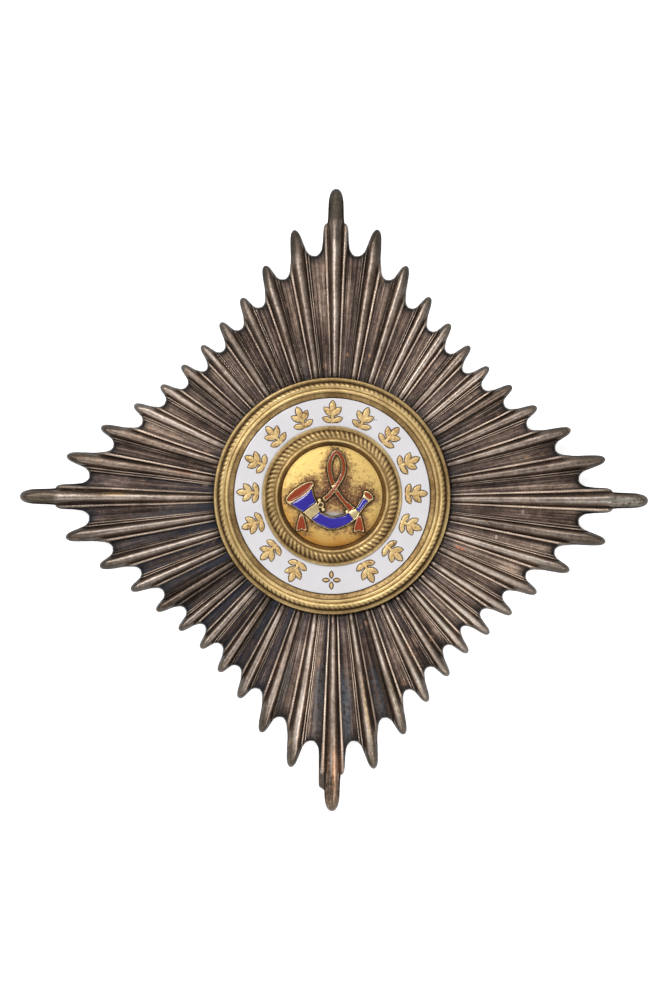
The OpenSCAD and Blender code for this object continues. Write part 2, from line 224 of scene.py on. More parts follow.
# Reach of the tip, and of the notch after it, as shares of the longest ray
RAYS = [(1, 0.783), (0.870, 0.723), (0.781, 0.658), (0.709, 0.620), (0.670, 0.592), (0.648, 0.580)]
# Degrees off the ray's axis and share of the way from the notch to the tip
LONG_EDGE = [
    (0, 1), (0.32, 0.995), (0.65, 0.98), (0.92, 0.955), (1.13, 0.918), (1.31, 0.865), (1.44, 0.80),
    (1.54, 0.69), (1.61, 0.57), (1.65, 0.51), (1.7, 0.485), (2, 0.478), (2.3, 0.46), (2.5, 0.435),
    (2.63, 0.39), (2.74, 0.32), (2.84, 0.22), (3.05, 0.11), (3.3, 0.08), (3.6, 0.045), (4, 0.02),
    (4.4, 0),
]
FAR_EDGE = [
    (0, 1), (0.25, 0.992), (0.5, 0.976), (0.75, 0.944), (1, 0.88), (1.25, 0.77), (1.5, 0.6),
    (1.75, 0.42), (2, 0.31), (2.25, 0.25), (2.5, 0.165), (2.75, 0.11), (3, 0.07), (3.3, 0.04),
    (3.6, 0.02), (4, 0),
]
NEAR_EDGE = [
    (0, 1), (0.25, 0.99), (0.5, 0.96), (0.75, 0.905), (1, 0.825), (1.25, 0.69), (1.5, 0.52),
    (1.75, 0.36), (2, 0.22), (2.25, 0.15), (2.5, 0.1), (2.75, 0.06), (3, 0.03), (3.5, 0.01), (4, 0),
]
# Degrees off the axis at which a ray's ribs start, and the flute after them
RIBS_START, FLUTE_START = 1.5, 2.5
# Degrees off the axis and height as a share of the ridge's: the ridge, then ribs, then the flute
FAR_RELIEF = [
    (0, 1), (0.2, 0.99), (0.4, 0.96), (0.6, 0.9), (0.8, 0.81), (1.0, 0.68), (1.15, 0.54),
    (1.3, 0.34), (1.4, 0.12), (1.5, -0.04), (1.62, -0.02), (1.75, 0.18), (1.9, 0.36), (2.05, 0.43),
    (2.25, 0.42), (2.42, 0.3), (2.55, 0.06), (2.68, -0.12), (2.95, -0.2), (3.4, -0.27),
    (3.8, -0.31), (4.2, -0.32),
]
NEAR_RELIEF = [
    (0, 1), (0.2, 0.99), (0.4, 0.96), (0.6, 0.9), (0.8, 0.81), (1.0, 0.68), (1.15, 0.54),
    (1.28, 0.34), (1.38, 0.1), (1.46, -0.06), (1.56, 0.02), (1.7, 0.34), (1.82, 0.37), (1.96, 0.14),
    (2.06, -0.04), (2.2, 0.04), (2.34, 0.3), (2.48, 0.32), (2.6, 0.08), (2.72, -0.12), (3.0, -0.19),
    (3.5, -0.28), (4.2, -0.32),
]
# How much further out than its row says each ray's tip ended up, in millimetres, clockwise from
# the top
TIP_SLIPS = [
    -0.1, 0.3, 0.1, 0.3, 0.1, 0.25, 0.05, 0.1, 0.05, 0.25, 0.2, 0.1, 0.3, 0.2, 0.2, 0.3, 0.45, 0.25,
    0.3, 0.4, 0.45, 0.4, 0.3, 0.25, 0.3, 0.05, -0.1, -0.25, 0.1, 0.05, 0.1, -0.1, -0.2, 0.1, -0.25,
    -0.15, -0.2, -0.4, -0.05, 0, 0.05, 0, 0, 0.15,
]
SEAT_R = 15.6
# Where a long ray leaves its ribs behind, as a share of the longest ray
RIBS_END = 0.875
# How far in from the outline the struck edge rounds over, on the rays and on their fingers, and how
# much of the wall stands at the outline itself
EDGE_ROUND, FINGER_ROUND = 0.34, 0.95
EDGE_WALL = 0.3
# How unevenly the die was cut: shift and height of the ribs, and roughness of the flutes
RIB_SLIP, RIB_GAIN, RIPPLE = 0.03, (0.55, 1.2), 0.075
RIPPLE_STEP = 0.6
# How far the ridges and ribs sway to either side, in degrees, and how quickly along a ray
SWAY, SWAY_LENGTH = 0.05, 3.1
# How soon a long ray and any other ray change from ribs to a plain finger, as shares of the longest
# ray, the finger's reach off the axis in degrees and its height as a share of the ridge's
LONG_FINGER_OVER, FINGER_OVER = 0.02, 0.09
FINGER_OFF, FINGER_LEVEL = 2.4, 0.9


def ray_axis(k):
    return 0.0 if k == 0 else 45 - (SHORT_RAYS + 0.5 - k) * RAY_PITCH


# Every ray: its angle clockwise from the top, and its row in RAYS
rays = []
for turn in range(0, 360, 90):
    rays += [(turn + ray_axis(k), k) for k in range(SHORT_RAYS + 1)]
    rays += [(turn + 90 - ray_axis(k), k) for k in range(SHORT_RAYS, 0, -1)]
tip_slip = np.array(TIP_SLIPS) / (STAR_W / 2)
luck = np.random.default_rng(7)
sway_phase = luck.uniform(0, 2 * math.pi, len(rays) + 1)
# How dark or bright each ray came out
ray_lot = luck.uniform(0, 1, len(rays))


def read(table, at):
    places, values = zip(*table)
    return np.interp(at, places, values)


def soften(values, reach):
    """Rounds the corners of a closed run of values."""
    window = np.hanning(2 * reach + 3)[1:-1]
    padded = np.concatenate([values[-reach:], values, values[:reach]])
    return np.convolve(padded, window / window.sum(), "valid")


# The outline and the relief all the way round, at a fine step in degrees. Between two rays, inner
# stands for the longer one, whose row comes first, and outer for the shorter one.
FINE = 0.02
# How many steps a corner is rounded over
CORNER_STEPS, LOT_STEPS, NOTCH_STEPS = 5, 20, 60
fine_angles = np.arange(0, 360, FINE)
reach_fine, relief_fine, notch_fine, off_fine, lot_fine = np.zeros((5, len(fine_angles)))
for i, (start, k) in enumerate(rays):
    next_i = (i + 1) % len(rays)
    after, k_after = rays[next_i]
    stop = after if after > start else after + 360
    here = (fine_angles >= start - 1e-9) & (fine_angles < stop - 1e-9)
    off_inner, off_outer = fine_angles[here] - start, stop - fine_angles[here]
    if k_after < k:
        off_inner, off_outer = off_outer, off_inner
    inner, outer = min(k, k_after), max(k, k_after)
    inner_i, outer_i = (i, next_i) if k_after >= k else (next_i, i)
    notch = RAYS[inner][1]
    edge_inner = read(LONG_EDGE if inner == 0 else FAR_EDGE, off_inner)
    edge_outer = read(FAR_EDGE if inner == outer else NEAR_EDGE, off_outer)
    reach_fine[here] = np.maximum(
        notch + edge_inner * (RAYS[inner][0] + tip_slip[inner_i] - notch),
        notch + edge_outer * (RAYS[outer][0] + tip_slip[outer_i] - notch))
    slips, gains = 1 + luck.normal(0, RIB_SLIP, 2), luck.uniform(*RIB_GAIN, 2)
    relief_inner = read(FAR_RELIEF, off_inner * slips[0])
    relief_outer = read(FAR_RELIEF if inner == outer else NEAR_RELIEF, off_outer * slips[1])
    relief_inner, relief_outer = (
        np.where((off > RIBS_START) & (line > 0), line * gain, line) for off, line, gain in
        ((off_inner, relief_inner, gains[0]), (off_outer, relief_outer, gains[1])))
    on_inner = off_inner < off_outer
    relief_fine[here] = np.where(on_inner, relief_inner, relief_outer)
    lot_fine[here] = np.where(on_inner, ray_lot[inner_i], ray_lot[outer_i])
    notch_fine[here] = np.where(on_inner, RIBS_END if inner == 0 else notch, notch)
    off_fine[here] = np.minimum(off_inner, off_outer)
reach_fine = soften(reach_fine, CORNER_STEPS)
ripple_angles = np.arange(0, 360.1, RIPPLE_STEP)
ripples = np.interp(fine_angles, ripple_angles, luck.normal(0, RIPPLE, len(ripple_angles)))
in_flute = np.clip((off_fine - FLUTE_START) / 0.3, 0.12, 1)
relief_fine = soften(relief_fine + ripples * in_flute, CORNER_STEPS)
lot_fine = soften(lot_fine, LOT_STEPS)
notch_fine = soften(notch_fine, NOTCH_STEPS)

# Columns of points, close together on the ridges and ribs, and rows, close together at the rim
FLUTE_COLUMNS, FLUTE_INSET = 10, 2.85
RIDGE_STEP, GROOVE_AT, RIB_STEP, RIB_LAST = 0.19, 1.42, 0.13, 2.8
columns = []
for i, (axis, k) in enumerate(rays):
    after = rays[(i + 1) % len(rays)][0]
    after = after if after > axis else after + 360
    toward = [*np.arange(0, RIBS_START, RIDGE_STEP), GROOVE_AT,
              *np.arange(RIBS_START, RIB_LAST, RIB_STEP)]
    middle = np.linspace(FLUTE_INSET, after - axis - FLUTE_INSET, FLUTE_COLUMNS)
    back = [after - axis - off for off in toward[:0:-1]]
    columns += [axis + off for off in (*toward, *middle, *back)]
columns = np.array(columns)
# The rows' places, as shares of the way from the seat to the rim
SHARES = np.concatenate([np.linspace(0, 0.7, 15), np.linspace(0.73, 0.9, 8),
                         np.linspace(0.915, 1, 10)])


def around(values, at):
    return np.interp(at % 360, np.append(fine_angles, 360), np.append(values, values[0]))


def star_back(x, y):
    return np.maximum(DOME_RISE * (1 - (x / (STAR_W / 2)) ** 2 - (y / (STAR_H / 2)) ** 2), 0)


def edge_points(angles):
    turn, reach = np.radians(angles), around(reach_fine, angles)
    return np.stack([reach * STAR_W / 2 * np.sin(turn), reach * STAR_H / 2 * np.cos(turn)], -1)


def how_far(flat, points):
    """How far each place of a grid is from the nearest of some points."""
    tree = kdtree.KDTree(len(points))
    for i, (x, y) in enumerate(points):
        tree.insert((x, y, 0), i)
    tree.balance()
    return np.array([[tree.find((x, y, 0))[2] for x, y in line] for line in flat])


turns = np.radians(columns)
rim = edge_points(columns)
seat = SEAT_R * np.stack([np.sin(turns), np.cos(turns)], -1)
flat = seat[None] * (1 - SHARES[:, None, None]) + rim[None] * SHARES[:, None, None]
radius = np.hypot(flat[..., 0], flat[..., 1])
phase = np.interp(columns, np.linspace(0, 360, len(sway_phase)), sway_phase)
sway = SWAY * np.sin(radius / SWAY_LENGTH + phase)
relief = around(relief_fine, columns[None] + sway * (SHARES[:, None] > 0))
off_axis = around(off_fine, columns[None] + sway)
lot = around(lot_fine, columns[None] + 0 * sway)

# The ribs run out before the notch, and the ray goes on as a plain rounded finger
finger_from = around(notch_fine, columns)
finger_over = np.where(finger_from > RAYS[0][1] + 0.02, LONG_FINGER_OVER, FINGER_OVER)
finger = np.clip((radius / (STAR_W / 2) - finger_from) / finger_over, 0, 1)
finger = finger * (off_axis < FINGER_OFF)
finger = finger * finger * (3 - 2 * finger)
relief = relief + (FINGER_LEVEL - relief) * finger * np.clip(1.9 - off_axis / 1.3, 0, 1)
from_edge = how_far(flat, edge_points(np.arange(0, 360, 0.05)))
rounding = EDGE_ROUND + (FINGER_ROUND - EDGE_ROUND) * finger
rise = np.sqrt(1 - (1 - np.clip(from_edge / rounding, 0, 1)) ** 2)
thick = WALL + relief * RIDGE_RISE * radius / (STAR_W / 2)
back = star_back(flat[..., 0], flat[..., 1])
face = np.dstack([flat, back + thick * (EDGE_WALL + (1 - EDGE_WALL) * rise)])

# The seat's flats, a little inside its edge, and the rows of the back, from the rim inwards
HUB_SHARE, HUB_DROP, UNDER_HUB_SHARE = 0.98, 0.35, 0.97
UNDER_ROWS = (-1, -5, 16, 8, 0)
hub_z = float((back + WALL)[0].max()) - HUB_DROP
hub = np.dstack([seat[None] * HUB_SHARE, np.full((1, len(columns)), hub_z)])
under = [np.dstack([flat[[row]], back[[row]]]) for row in UNDER_ROWS]
under.append(np.dstack([seat[None] * UNDER_HUB_SHARE,
                        np.full((1, len(columns)), float(back[0].min()))]))
rows = np.concatenate([hub, face, *under])


def carried(over_face, elsewhere):
    """A number known over the face, filled in for the seat and the back."""
    behind = np.full((len(under), len(columns)), float(elsewhere))
    return np.concatenate([over_face[[0]], over_face, behind])


def grid_faces(rows, columns, loop_rows=False):
    """Four-sided faces over a grid of points whose columns close into a ring."""
    r, c = np.meshgrid(np.arange(rows - (not loop_rows)), np.arange(columns), indexing="ij")
    r_next, c_next = (r + 1) % rows, (c + 1) % columns
    return np.stack([r * columns + c, r_next * columns + c, r_next * columns + c_next,
                     r * columns + c_next], -1).reshape(-1, 4).tolist()


class Shape:
    """A mesh being put together from closed shells, in millimetres."""

    def __init__(self):
        self.points, self.faces, self.numbers, self.slots = [], [], {}, []

    def shell(self, points, faces, slot=0, **numbers):
        start = sum(len(p) for p in self.points)
        points = np.asarray(points, float).reshape(-1, 3)
        self.points.append(points)
        self.faces += [tuple(int(start + i) for i in face) for face in faces]
        self.slots += [slot] * len(faces)
        for name in set(self.numbers) | set(numbers):
            value = np.asarray(numbers.get(name, 0.0), float)
            value = np.full(len(points), value) if value.ndim == 0 else value.reshape(-1)
            self.numbers[name] = np.concatenate([self.numbers.get(name, np.zeros(start)), value])

    def piece(self, name, finishes, slot, *nodes, sharp=None):
        mesh = bpy.data.meshes.new(name)
        mesh.from_pydata((np.concatenate(self.points) * MM).tolist(), [], self.faces)
        mesh.polygons.foreach_set("material_index", self.slots)
        for number, values in self.numbers.items():
            mesh.attributes.new(number, "FLOAT", "POINT").data.foreach_set("value", values)
        tidy = bmesh.new()
        tidy.from_mesh(mesh)
        bmesh.ops.remove_doubles(tidy, verts=tidy.verts, dist=1e-7)
        bmesh.ops.recalc_face_normals(tidy, faces=tidy.faces)
        tidy.to_mesh(mesh)
        tidy.free()
        mesh.shade_smooth()
        if sharp:
            mesh.set_sharp_from_angle(angle=math.radians(sharp))
        for finish in finishes:
            mesh.materials.append(finish)
        made = in_scene(name, mesh)
        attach(made, "root")
        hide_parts(*nodes)


# Tones of the tarnish on the face and in the flutes from dark to pale, and of the painted shade on
# the rays' ends from the lower side of the star to the upper
FACE_TONES = [(0.0, (0.06, 0.041, 0.031)), (0.35, (0.142, 0.1, 0.075)),
              (0.7, (0.25, 0.184, 0.141)), (1.0, (0.40, 0.315, 0.255))]
FLUTE_TONES = [(0.0, (0.023, 0.016, 0.014)), (0.3, (0.07, 0.047, 0.037)),
               (0.6, (0.19, 0.132, 0.1)), (0.9, (0.50, 0.375, 0.285))]
END_SHADE_TONES = [(0.0, (0.24, 0.19, 0.135)), (0.5, (0.2, 0.15, 0.11)),
             (0.75, (0.125, 0.1, 0.074)), (0.95, (0.09, 0.076, 0.055))]
SPECKLE_TONES = [(0.3, (0.2, 0.2, 0.2)), (0.5, (0.5, 0.5, 0.5)), (0.7, (0.82, 0.82, 0.82))]
WORN_AND_LIT_SILVER, PAINTED_HIGHLIGHT_SILVER = (0.61, 0.525, 0.455), (0.95, 0.83, 0.71)
RIB_TOP, RIB_HATCH, RIB_FOOT = (0.80, 0.63, 0.50), (0.27, 0.19, 0.14), (0.055, 0.041, 0.032)
GROOVE_SOOT, FLANK_SHADE = (0.03, 0.02, 0.016), (0.05, 0.036, 0.028)
RIM_SHADE, SEAT_SHADOW, END_SOOT = (0.024, 0.019, 0.016), (0.03, 0.025, 0.022), (0.065, 0.047, 0.034)
BLUE_BLOOM, WARM_STAIN = (0.026, 0.032, 0.048), (0.46, 0.27, 0.16)
# Degrees clockwise from the top
DARKEST_SIDE, PAINTED_LIT_SIDE, ENDS_MOST_SHADED, ENDS_DULLEST = 235, 155, 350, 20
# Marks that wear and heat have left, and a few of painted light and shade: degrees clockwise from
# the top, distance out, half-length and half-width in millimetres, colour and strength
MARKS = [
    (270.9, 29.6, 2.6, 0.32, (0.46, 0.27, 0.10), 0.8),
    (270.2, 28.0, 1.6, 0.2, (0.24, 0.27, 0.17), 0.6),
    (279.4, 20.6, 1.8, 0.3, (0.36, 0.11, 0.07), 0.8),
    (276.0, 17.3, 0.7, 0.4, (0.50, 0.37, 0.29), 0.6),
    (291.3, 23.2, 0.8, 0.6, (0.36, 0.25, 0.15), 0.6),
    (180.0, 37.5, 8.0, 1.9, (0.33, 0.205, 0.135), 0.7),
    (179.7, 36.4, 4.6, 0.28, (0.50, 0.27, 0.14), 0.8),
    (111.0, 18.1, 1.0, 0.3, (0.56, 0.19, 0.09), 0.9),
    (5.0, 19.3, 0.35, 0.3, (0.45, 0.24, 0.12), 0.8),
    (13.5, 19.8, 0.35, 0.3, (0.50, 0.28, 0.14), 0.8),
    (269.6, 37.0, 1.0, 0.4, (0.36, 0.33, 0.29), 0.5),
    # Two painted glints
    (93.8, 25.3, 0.22, 0.4, (0.75, 0.68, 0.60), 0.9),
    (102.8, 22.3, 0.2, 0.4, (0.75, 0.66, 0.56), 0.9),
    (89.6, 36.6, 1.5, 0.12, (0.02, 0.02, 0.02), 0.9),
    (150.0, 22.0, 1.2, 0.3, (0.48, 0.33, 0.23), 0.7),
    (131.0, 28.6, 0.8, 0.4, (0.42, 0.28, 0.19), 0.6),
    (204.0, 24.0, 1.2, 0.25, (0.44, 0.26, 0.16), 0.7),
    (12.0, 30.5, 1.6, 0.5, (0.33, 0.21, 0.13), 0.6),
    (176.4, 27.5, 6.5, 1.1, (0.075, 0.09, 0.105), 1.0),
    (167.0, 26.5, 5.0, 0.9, (0.06, 0.068, 0.08), 0.9),
    (171.0, 28.5, 6.0, 0.26, (0.66, 0.43, 0.2), 0.7),
    (162.7, 28.0, 5.5, 0.24, (0.62, 0.51, 0.32), 0.5),
    (184.2, 27.0, 6.5, 1.1, (0.065, 0.08, 0.095), 0.9),
    (194.5, 26.0, 4.5, 0.8, (0.075, 0.078, 0.078), 0.8),
    # Painted shade over the top ray's end
    (0.2, 36.3, 2.9, 1.0, (0.095, 0.076, 0.06), 1.0),
    (0.2, 36.0, 2.4, 0.8, (0.11, 0.085, 0.065), 1.0),
    (90.2, 38.3, 3.3, 0.85, (0.40, 0.365, 0.305), 1.0),
    (90.0, 37.8, 3.2, 0.6, (0.52, 0.48, 0.41), 1.0), (90.4, 39.2, 2.6, 0.9, (0.33, 0.3, 0.24), 1.0),
]


def tarnished_silver():
    silver = Finish("tarnished silver")
    spot = silver.place()
    lift, tip, off, inset, lot = (silver.shape(name)
                                  for name in ("lift", "tip", "off", "inset", "lot"))
    flat_spot = silver.vector("MULTIPLY", spot, (1, 1, 0))
    far = silver.vector("LENGTH", flat_spot, output="Value")
    way = silver.vector("NORMALIZE", flat_spot)

    def drawn_out(share):
        """A place that changes quickly across the rays and, by the share given, along them."""
        out = silver.node("ShaderNodeCombineXYZ", {}, {"Z": far * share})
        return silver.vector("ADD", way, out)

    def facing(degrees):
        """1 on the ray that points this way, and -1 on the one across from it."""
        ray = math.sin(math.radians(degrees)), math.cos(math.radians(degrees)), 0
        return silver.vector("DOT_PRODUCT", way, ray, output="Value")

    lines, streaks, strips, patches = (
        silver.noise(drawn_out(share), scale, 3, 0.6)
        for share, scale in ((0.5, 150), (2.5, 60), (6, 21), (9, 7)))
    cloud, grain, fine = (silver.noise(spot, scale, detail, 0.68)
                          for scale, detail in ((260, 4), (1900, 3), (5600, 2)))
    hatch = (far * 15500 + off * 5.5 + streaks * 26 + cloud * 9).sine() * 0.5 + 0.5

    # Regions of the star, and parts of a ray
    darker_side = facing(DARKEST_SIDE).spread(0.66, 0.97)
    lighter = facing(DARKEST_SIDE + 180).spread(0.1, 0.9)
    # The side of the star where painted highlight is strongest
    painted_lit_side = facing(PAINTED_LIT_SIDE).spread(0.5, 0.95)
    beside = 1 - far.spread(15.9 * MM, 17.6 * MM)
    front = 1 - off.spread(5, 6)
    flute = off.spread(FLUTE_START, 2.72)
    rib = off.spread(RIBS_START, 1.65) * (1 - flute)
    crest = (1 - off.spread(0.1, 1.05 - painted_lit_side * 0.4)) * (1 - tip * 0.8)
    flank_shade = off.spread(0.6, 1.0) * (1 - off.spread(1.3, 1.45)) * (painted_lit_side * 0.65 + 0.15)
    groove = ((0.16 - lift * 1.6).kept() * 6 * off.spread(1.1, 1.35)
              * (1 - off.spread(2.62, 2.85)))
    mood = ((patches - 0.5) * 0.8 + (strips - 0.5) * 1.2 + (cloud - 0.5) * 0.7
            + (lot - 0.5) * 0.4)

    # Tarnish over the face, in the flutes, on the ribs and in the grooves beside them
    pale = lift * 0.45 + mood * 0.75 + (grain - 0.5) * 0.45 + 0.2
    colour = silver.ramp(pale.kept(), FACE_TONES)
    sunk = (lines * 1.5 + mood * 0.8 + off.spread(3.1, 4.3) * 0.12 + (grain - 0.5) * 0.4
            - darker_side * 0.16 - 0.36)
    colour = silver.blend(flute, colour, silver.ramp(sunk.kept(), FLUTE_TONES))
    rib_top = ((lift - 0.13) * 4 + mood * 0.9 + (streaks - 0.5) * 1.2).kept()
    colour = silver.blend((rib * rib_top).kept(), silver.blend(rib * 0.6, colour, RIB_FOOT),
                          silver.blend(hatch * 0.4, RIB_TOP, RIB_HATCH))
    colour = silver.blend(groove.kept() * 0.6, colour, GROOVE_SOOT)
    # Painted shade down the ridges' flanks, strongest on the lit side
    colour = silver.blend(flank_shade, colour, FLANK_SHADE)

    # Silver worn bare along the crests, plus painted highlight on the lit side, held back beside
    # the medallion
    worn = crest * (1 - beside * 0.7) * (
        0.12 + lot * 0.3 + mood * 0.9 + (streaks - 0.5) * 1.5 + (grain - 0.5) * 0.8
        + lighter * 0.1 + painted_lit_side * 0.25)
    colour = silver.blend(worn.kept(), colour, WORN_AND_LIT_SILVER)
    # A painted highlight down the middle of the crests on the lit side
    painted_highlight = ((1 - off.spread(0.1, 0.38)) * painted_lit_side * (1 - tip) * (1 - beside)
                   * (mood + streaks + 0.1).kept())
    colour = silver.blend((painted_highlight * 0.7).kept(), colour, PAINTED_HIGHLIGHT_SILVER)

    # Painted shade on the rays' ends, along the rim and on the seat beside the medallion
    # The ends are darkest on the upper side of the star, as painted shade
    ends = silver.ramp(facing(ENDS_MOST_SHADED) * 0.5 + 0.5, END_SHADE_TONES)
    ends = silver.blend((cloud * 0.7 + grain * 0.6 - 0.15).kept(), END_SOOT, ends)
    colour = silver.blend((tip * (0.9 - painted_lit_side * 0.2)).kept(), colour, ends)
    # Painted shade along the rim, reaching into the flutes at the notches
    edge = ((1 - inset.spread(0.0, 1.5 + painted_lit_side)) * (flute * 0.9 + 0.05)
            + (1 - inset.spread(0.05, 0.6)) * 0.85)
    colour = silver.blend(edge.kept(), colour, RIM_SHADE)
    # Painted shadow of the medallion on the seat
    colour = silver.blend((beside * front * 0.6).kept(), colour, SEAT_SHADOW)

    # Bloom and stains, and the marks, painted glints and painted shade among them
    bloom = ((patches * 0.5 + strips * 0.5).spread(0.42, 0.56) * flute
             * (darker_side * 0.8 + (1 - far.spread(16 * MM, 24 * MM)) * 0.4 + 0.12))
    colour = silver.blend(bloom.kept() * front * 0.85, colour, BLUE_BLOOM)
    warm = silver.noise(spot, 800, 2, 0.5).spread(0.58, 0.7) * streaks.spread(0.5, 0.62) * 0.4
    colour = silver.blend(warm, colour, WARM_STAIN)
    flecks = (streaks + grain).spread(0.7, 1.2) * front * 0.75
    for angle, out, long, wide, tone, strength in MARKS:
        turn = math.radians(angle)
        own = silver.node("ShaderNodeMapping", {"vector_type": "TEXTURE"}, {
            "Vector": spot, "Location": (out * math.sin(turn) * MM, out * math.cos(turn) * MM, 0),
            "Rotation": (0, 0, math.pi / 2 - turn), "Scale": (long * MM, wide * MM, 1)})
        within = 1 - silver.vector("LENGTH", own, output="Value").spread(0.45, 1.0)
        colour = silver.blend((within * flecks * strength).kept(), colour, tone)

    # Fine grain, and the brightness of each region
    speckle = silver.ramp(fine * 0.65 + grain * 0.35, SPECKLE_TONES)
    colour = silver.blend(tip * 0.3 + 0.55, colour, speckle, "OVERLAY")
    inner_part = (1 - far.spread(19.5 * MM, 25.5 * MM)) * 0.15
    # Painted light on the lit side, most near the middle; darker at the lower left and far out
    tone = (0.97 + painted_lit_side * (0.5 - tip * 0.5 + inner_part) - darker_side * 0.28
            - far.spread(27 * MM, 33 * MM) * 0.15)
    dents = (fine * 0.2 + grain * 0.35 + lines * 1.5 * (flute + 0.2) + hatch * rib * 0.35
             + cloud * 0.6)
    rough = (0.41 + (cloud - 0.5) * 0.3 + (fine - 0.5) * 0.2 - worn.kept() * 0.06
             + tip * facing(ENDS_DULLEST).spread(0.0, 0.8) * 0.2)
    return silver.surface(Base_Color=silver.vector("SCALE", colour, Scale=tone), Metallic=0.88,
                          Roughness=rough.kept(), Normal=silver.bump(dents, 0.8, 0.11 * MM))


star = Shape()
last_row = (len(rows) - 1) * len(columns)
star.shell(rows, [*grid_faces(len(rows), len(columns)), range(len(columns)),
                  range(last_row, last_row + len(columns))],
           lift=carried(np.clip(relief, 0, 1), 0), tip=carried(finger, 0), off=carried(off_axis, 9),
           inset=carried(from_edge, 3), lot=carried(lot, 0.5))
star.piece("star_body_struck", [tarnished_silver()], "silver", "star_body")

# Outer bezel. A gilt silver cup, turned on a lathe, with a flat flange, a rope moulding, a bead and
# a sloping lip that holds the enamelled plate. It sits on the flat in the middle of the star.
OUTER_BODY_R, OUTER_R, OUTER_LIP_R = 15.09, 15.82, 13.12
# The medallion's middle from the star's, and the gap between its cup and the flat
MEDALLION_AT = np.array([-0.27, 0.32])
CUP_LIFT = 0.03
medallion_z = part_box("outer_bezel")[0].z / MM - CUP_LIFT
# Radius and height of a moulding's middle, and the radius of its wire
OUTER_ROPE, OUTER_BEAD = (14.73, 1.28, 0.43), (14.07, 1.4, 0.23)
OUTER_STRANDS, OUTER_LEAN, OUTER_PLUMP = 138, 2.8, 5
# Angle over the wire, depth of the grooves there and dirt in them
OUTER_GROOVES = [(0, 0.12, 0.9), (20, 0.2, 0.55), (45, 0.2, 0.32), (75, 0.12, 0.1), (95, 0.02, 0),
                 (115, 0, 0), (180, 0, 0.1), (360, 0, 1)]
# Where the points of one strand lie, close together beside the groove
STRAND_PLACES = [0, 0.05, 0.13, 0.28, 0.5, 0.72, 0.87, 0.95]
TURNED_COLUMNS = 360
GILT_TONES = [(0.0, (0.74, 0.555, 0.265)), (0.3, (0.46, 0.325, 0.145)),
              (0.6, (0.23, 0.142, 0.056)), (1.0, (0.065, 0.036, 0.016))]


def arc(ring, first, last, steps, dirt):
    """Rows of a round moulding's section, by angles from its outer side, over the top, inwards."""
    at_r, at_z, wire_r = ring
    turns = np.radians(np.linspace(first, last, steps))
    return [(at_r + wire_r * math.cos(turn), at_z + wire_r * math.sin(turn), dirt)
            for turn in turns]


def about_middle(r, turn, z):
    """Points at radii and heights of the medallion, at angles clockwise from its top."""
    return np.dstack([MEDALLION_AT[0] + r * np.sin(turn), MEDALLION_AT[1] + r * np.cos(turn),
                      medallion_z + z + 0 * turn])


def turned(shape, section, closed=False):
    """Rows of radius, height and dirt turned round the medallion's middle."""
    turns = np.linspace(0, 2 * math.pi, TURNED_COLUMNS, endpoint=False)
    r, z, dirt = (np.array(values, float)[:, None] for values in zip(*section))
    shape.shell(about_middle(r, turns, z),
                grid_faces(len(section), TURNED_COLUMNS, loop_rows=closed),
                dirt=dirt + 0 * turns)


def rope(shape, ring, strands, lean, plump, grooves, rows_round):
    """A twisted wire: strands bulge between grooves, and lean as they cross the top inwards."""
    at_r, at_z, wire_r = ring
    over = np.linspace(0, 2 * math.pi, rows_round, endpoint=False)[:, None]
    within = np.tile(STRAND_PLACES, strands)
    strand = np.repeat(np.arange(strands), len(STRAND_PLACES)) + within
    hollow = abs(2 * within - 1) ** plump
    angles, depths, dirts = zip(*grooves)
    depth, dirt = (np.interp(np.degrees(over), angles, values) for values in (depths, dirts))
    turn = 2 * math.pi * strand / strands + math.radians(lean) * (1 - abs(over / math.pi - 1))
    thick = wire_r * (1 - depth * hollow)
    shape.shell(about_middle(at_r + thick * np.cos(over), turn, at_z + thick * np.sin(over)),
                grid_faces(rows_round, len(strand), loop_rows=True),
                dirt=np.clip(dirt + np.clip(depth * 8, 0, 0.7) * hollow, 0, 1))


def gilt_silver():
    gilt = Finish("gilt silver")
    spot, dirt = gilt.place(), gilt.shape("dirt")
    cloud, grain = gilt.noise(spot, 240, 3, 0.6), gilt.noise(spot, 3200, 3, 0.7)
    dirty = (dirt * 0.95 + (cloud - 0.5) * 0.8 + (grain - 0.5) * 0.7 + 0.12).kept()
    return gilt.surface(Base_Color=gilt.ramp(dirty, GILT_TONES), Metallic=0.92,
                        Roughness=(dirty * 0.2 + 0.46 + (grain - 0.5) * 0.2).kept(),
                        Normal=gilt.bump(grain + cloud * 0.7, 0.5, 0.06 * MM))


outer_bezel = Shape()
turned(outer_bezel, [
    (0, 0.03, 0), (OUTER_BODY_R, 0.03, 1), (OUTER_BODY_R, 0.5, 1), (OUTER_R, 0.5, 0.7),
    (OUTER_R, 0.67, 0.6), (OUTER_R - 0.03, 0.76, 0.4), (OUTER_R - 0.1, 0.82, 0.26),
    (OUTER_R - 0.22, 0.845, 0.2), (15.42, 0.84, 0.32), (15.32, 0.82, 0.6), (15.24, 0.8, 1),
    (15.16, 0.85, 1), (15.08, 1.05, 1), (14.75, 1.2, 1), (14.4, 1.44, 0.7), (14.31, 1.5, 0.3),
    *arc(OUTER_BEAD, 40, 155, 9, 0.02), (13.85, 1.44, 0.45), (13.79, 1.405, 0.75),
    (13.7, 1.375, 0.46), (13.55, 1.33, 0.42), (13.4, 1.28, 0.42), (13.24, 1.21, 0.45),
    (13.16, 1.165, 0.8), (OUTER_LIP_R, 1.1, 1), (OUTER_LIP_R, 0.5, 1), (0, 0.5, 1),
])
rope(outer_bezel, OUTER_ROPE, OUTER_STRANDS, OUTER_LEAN, OUTER_PLUMP, OUTER_GROOVES, rows_round=24)
gilt = gilt_silver()
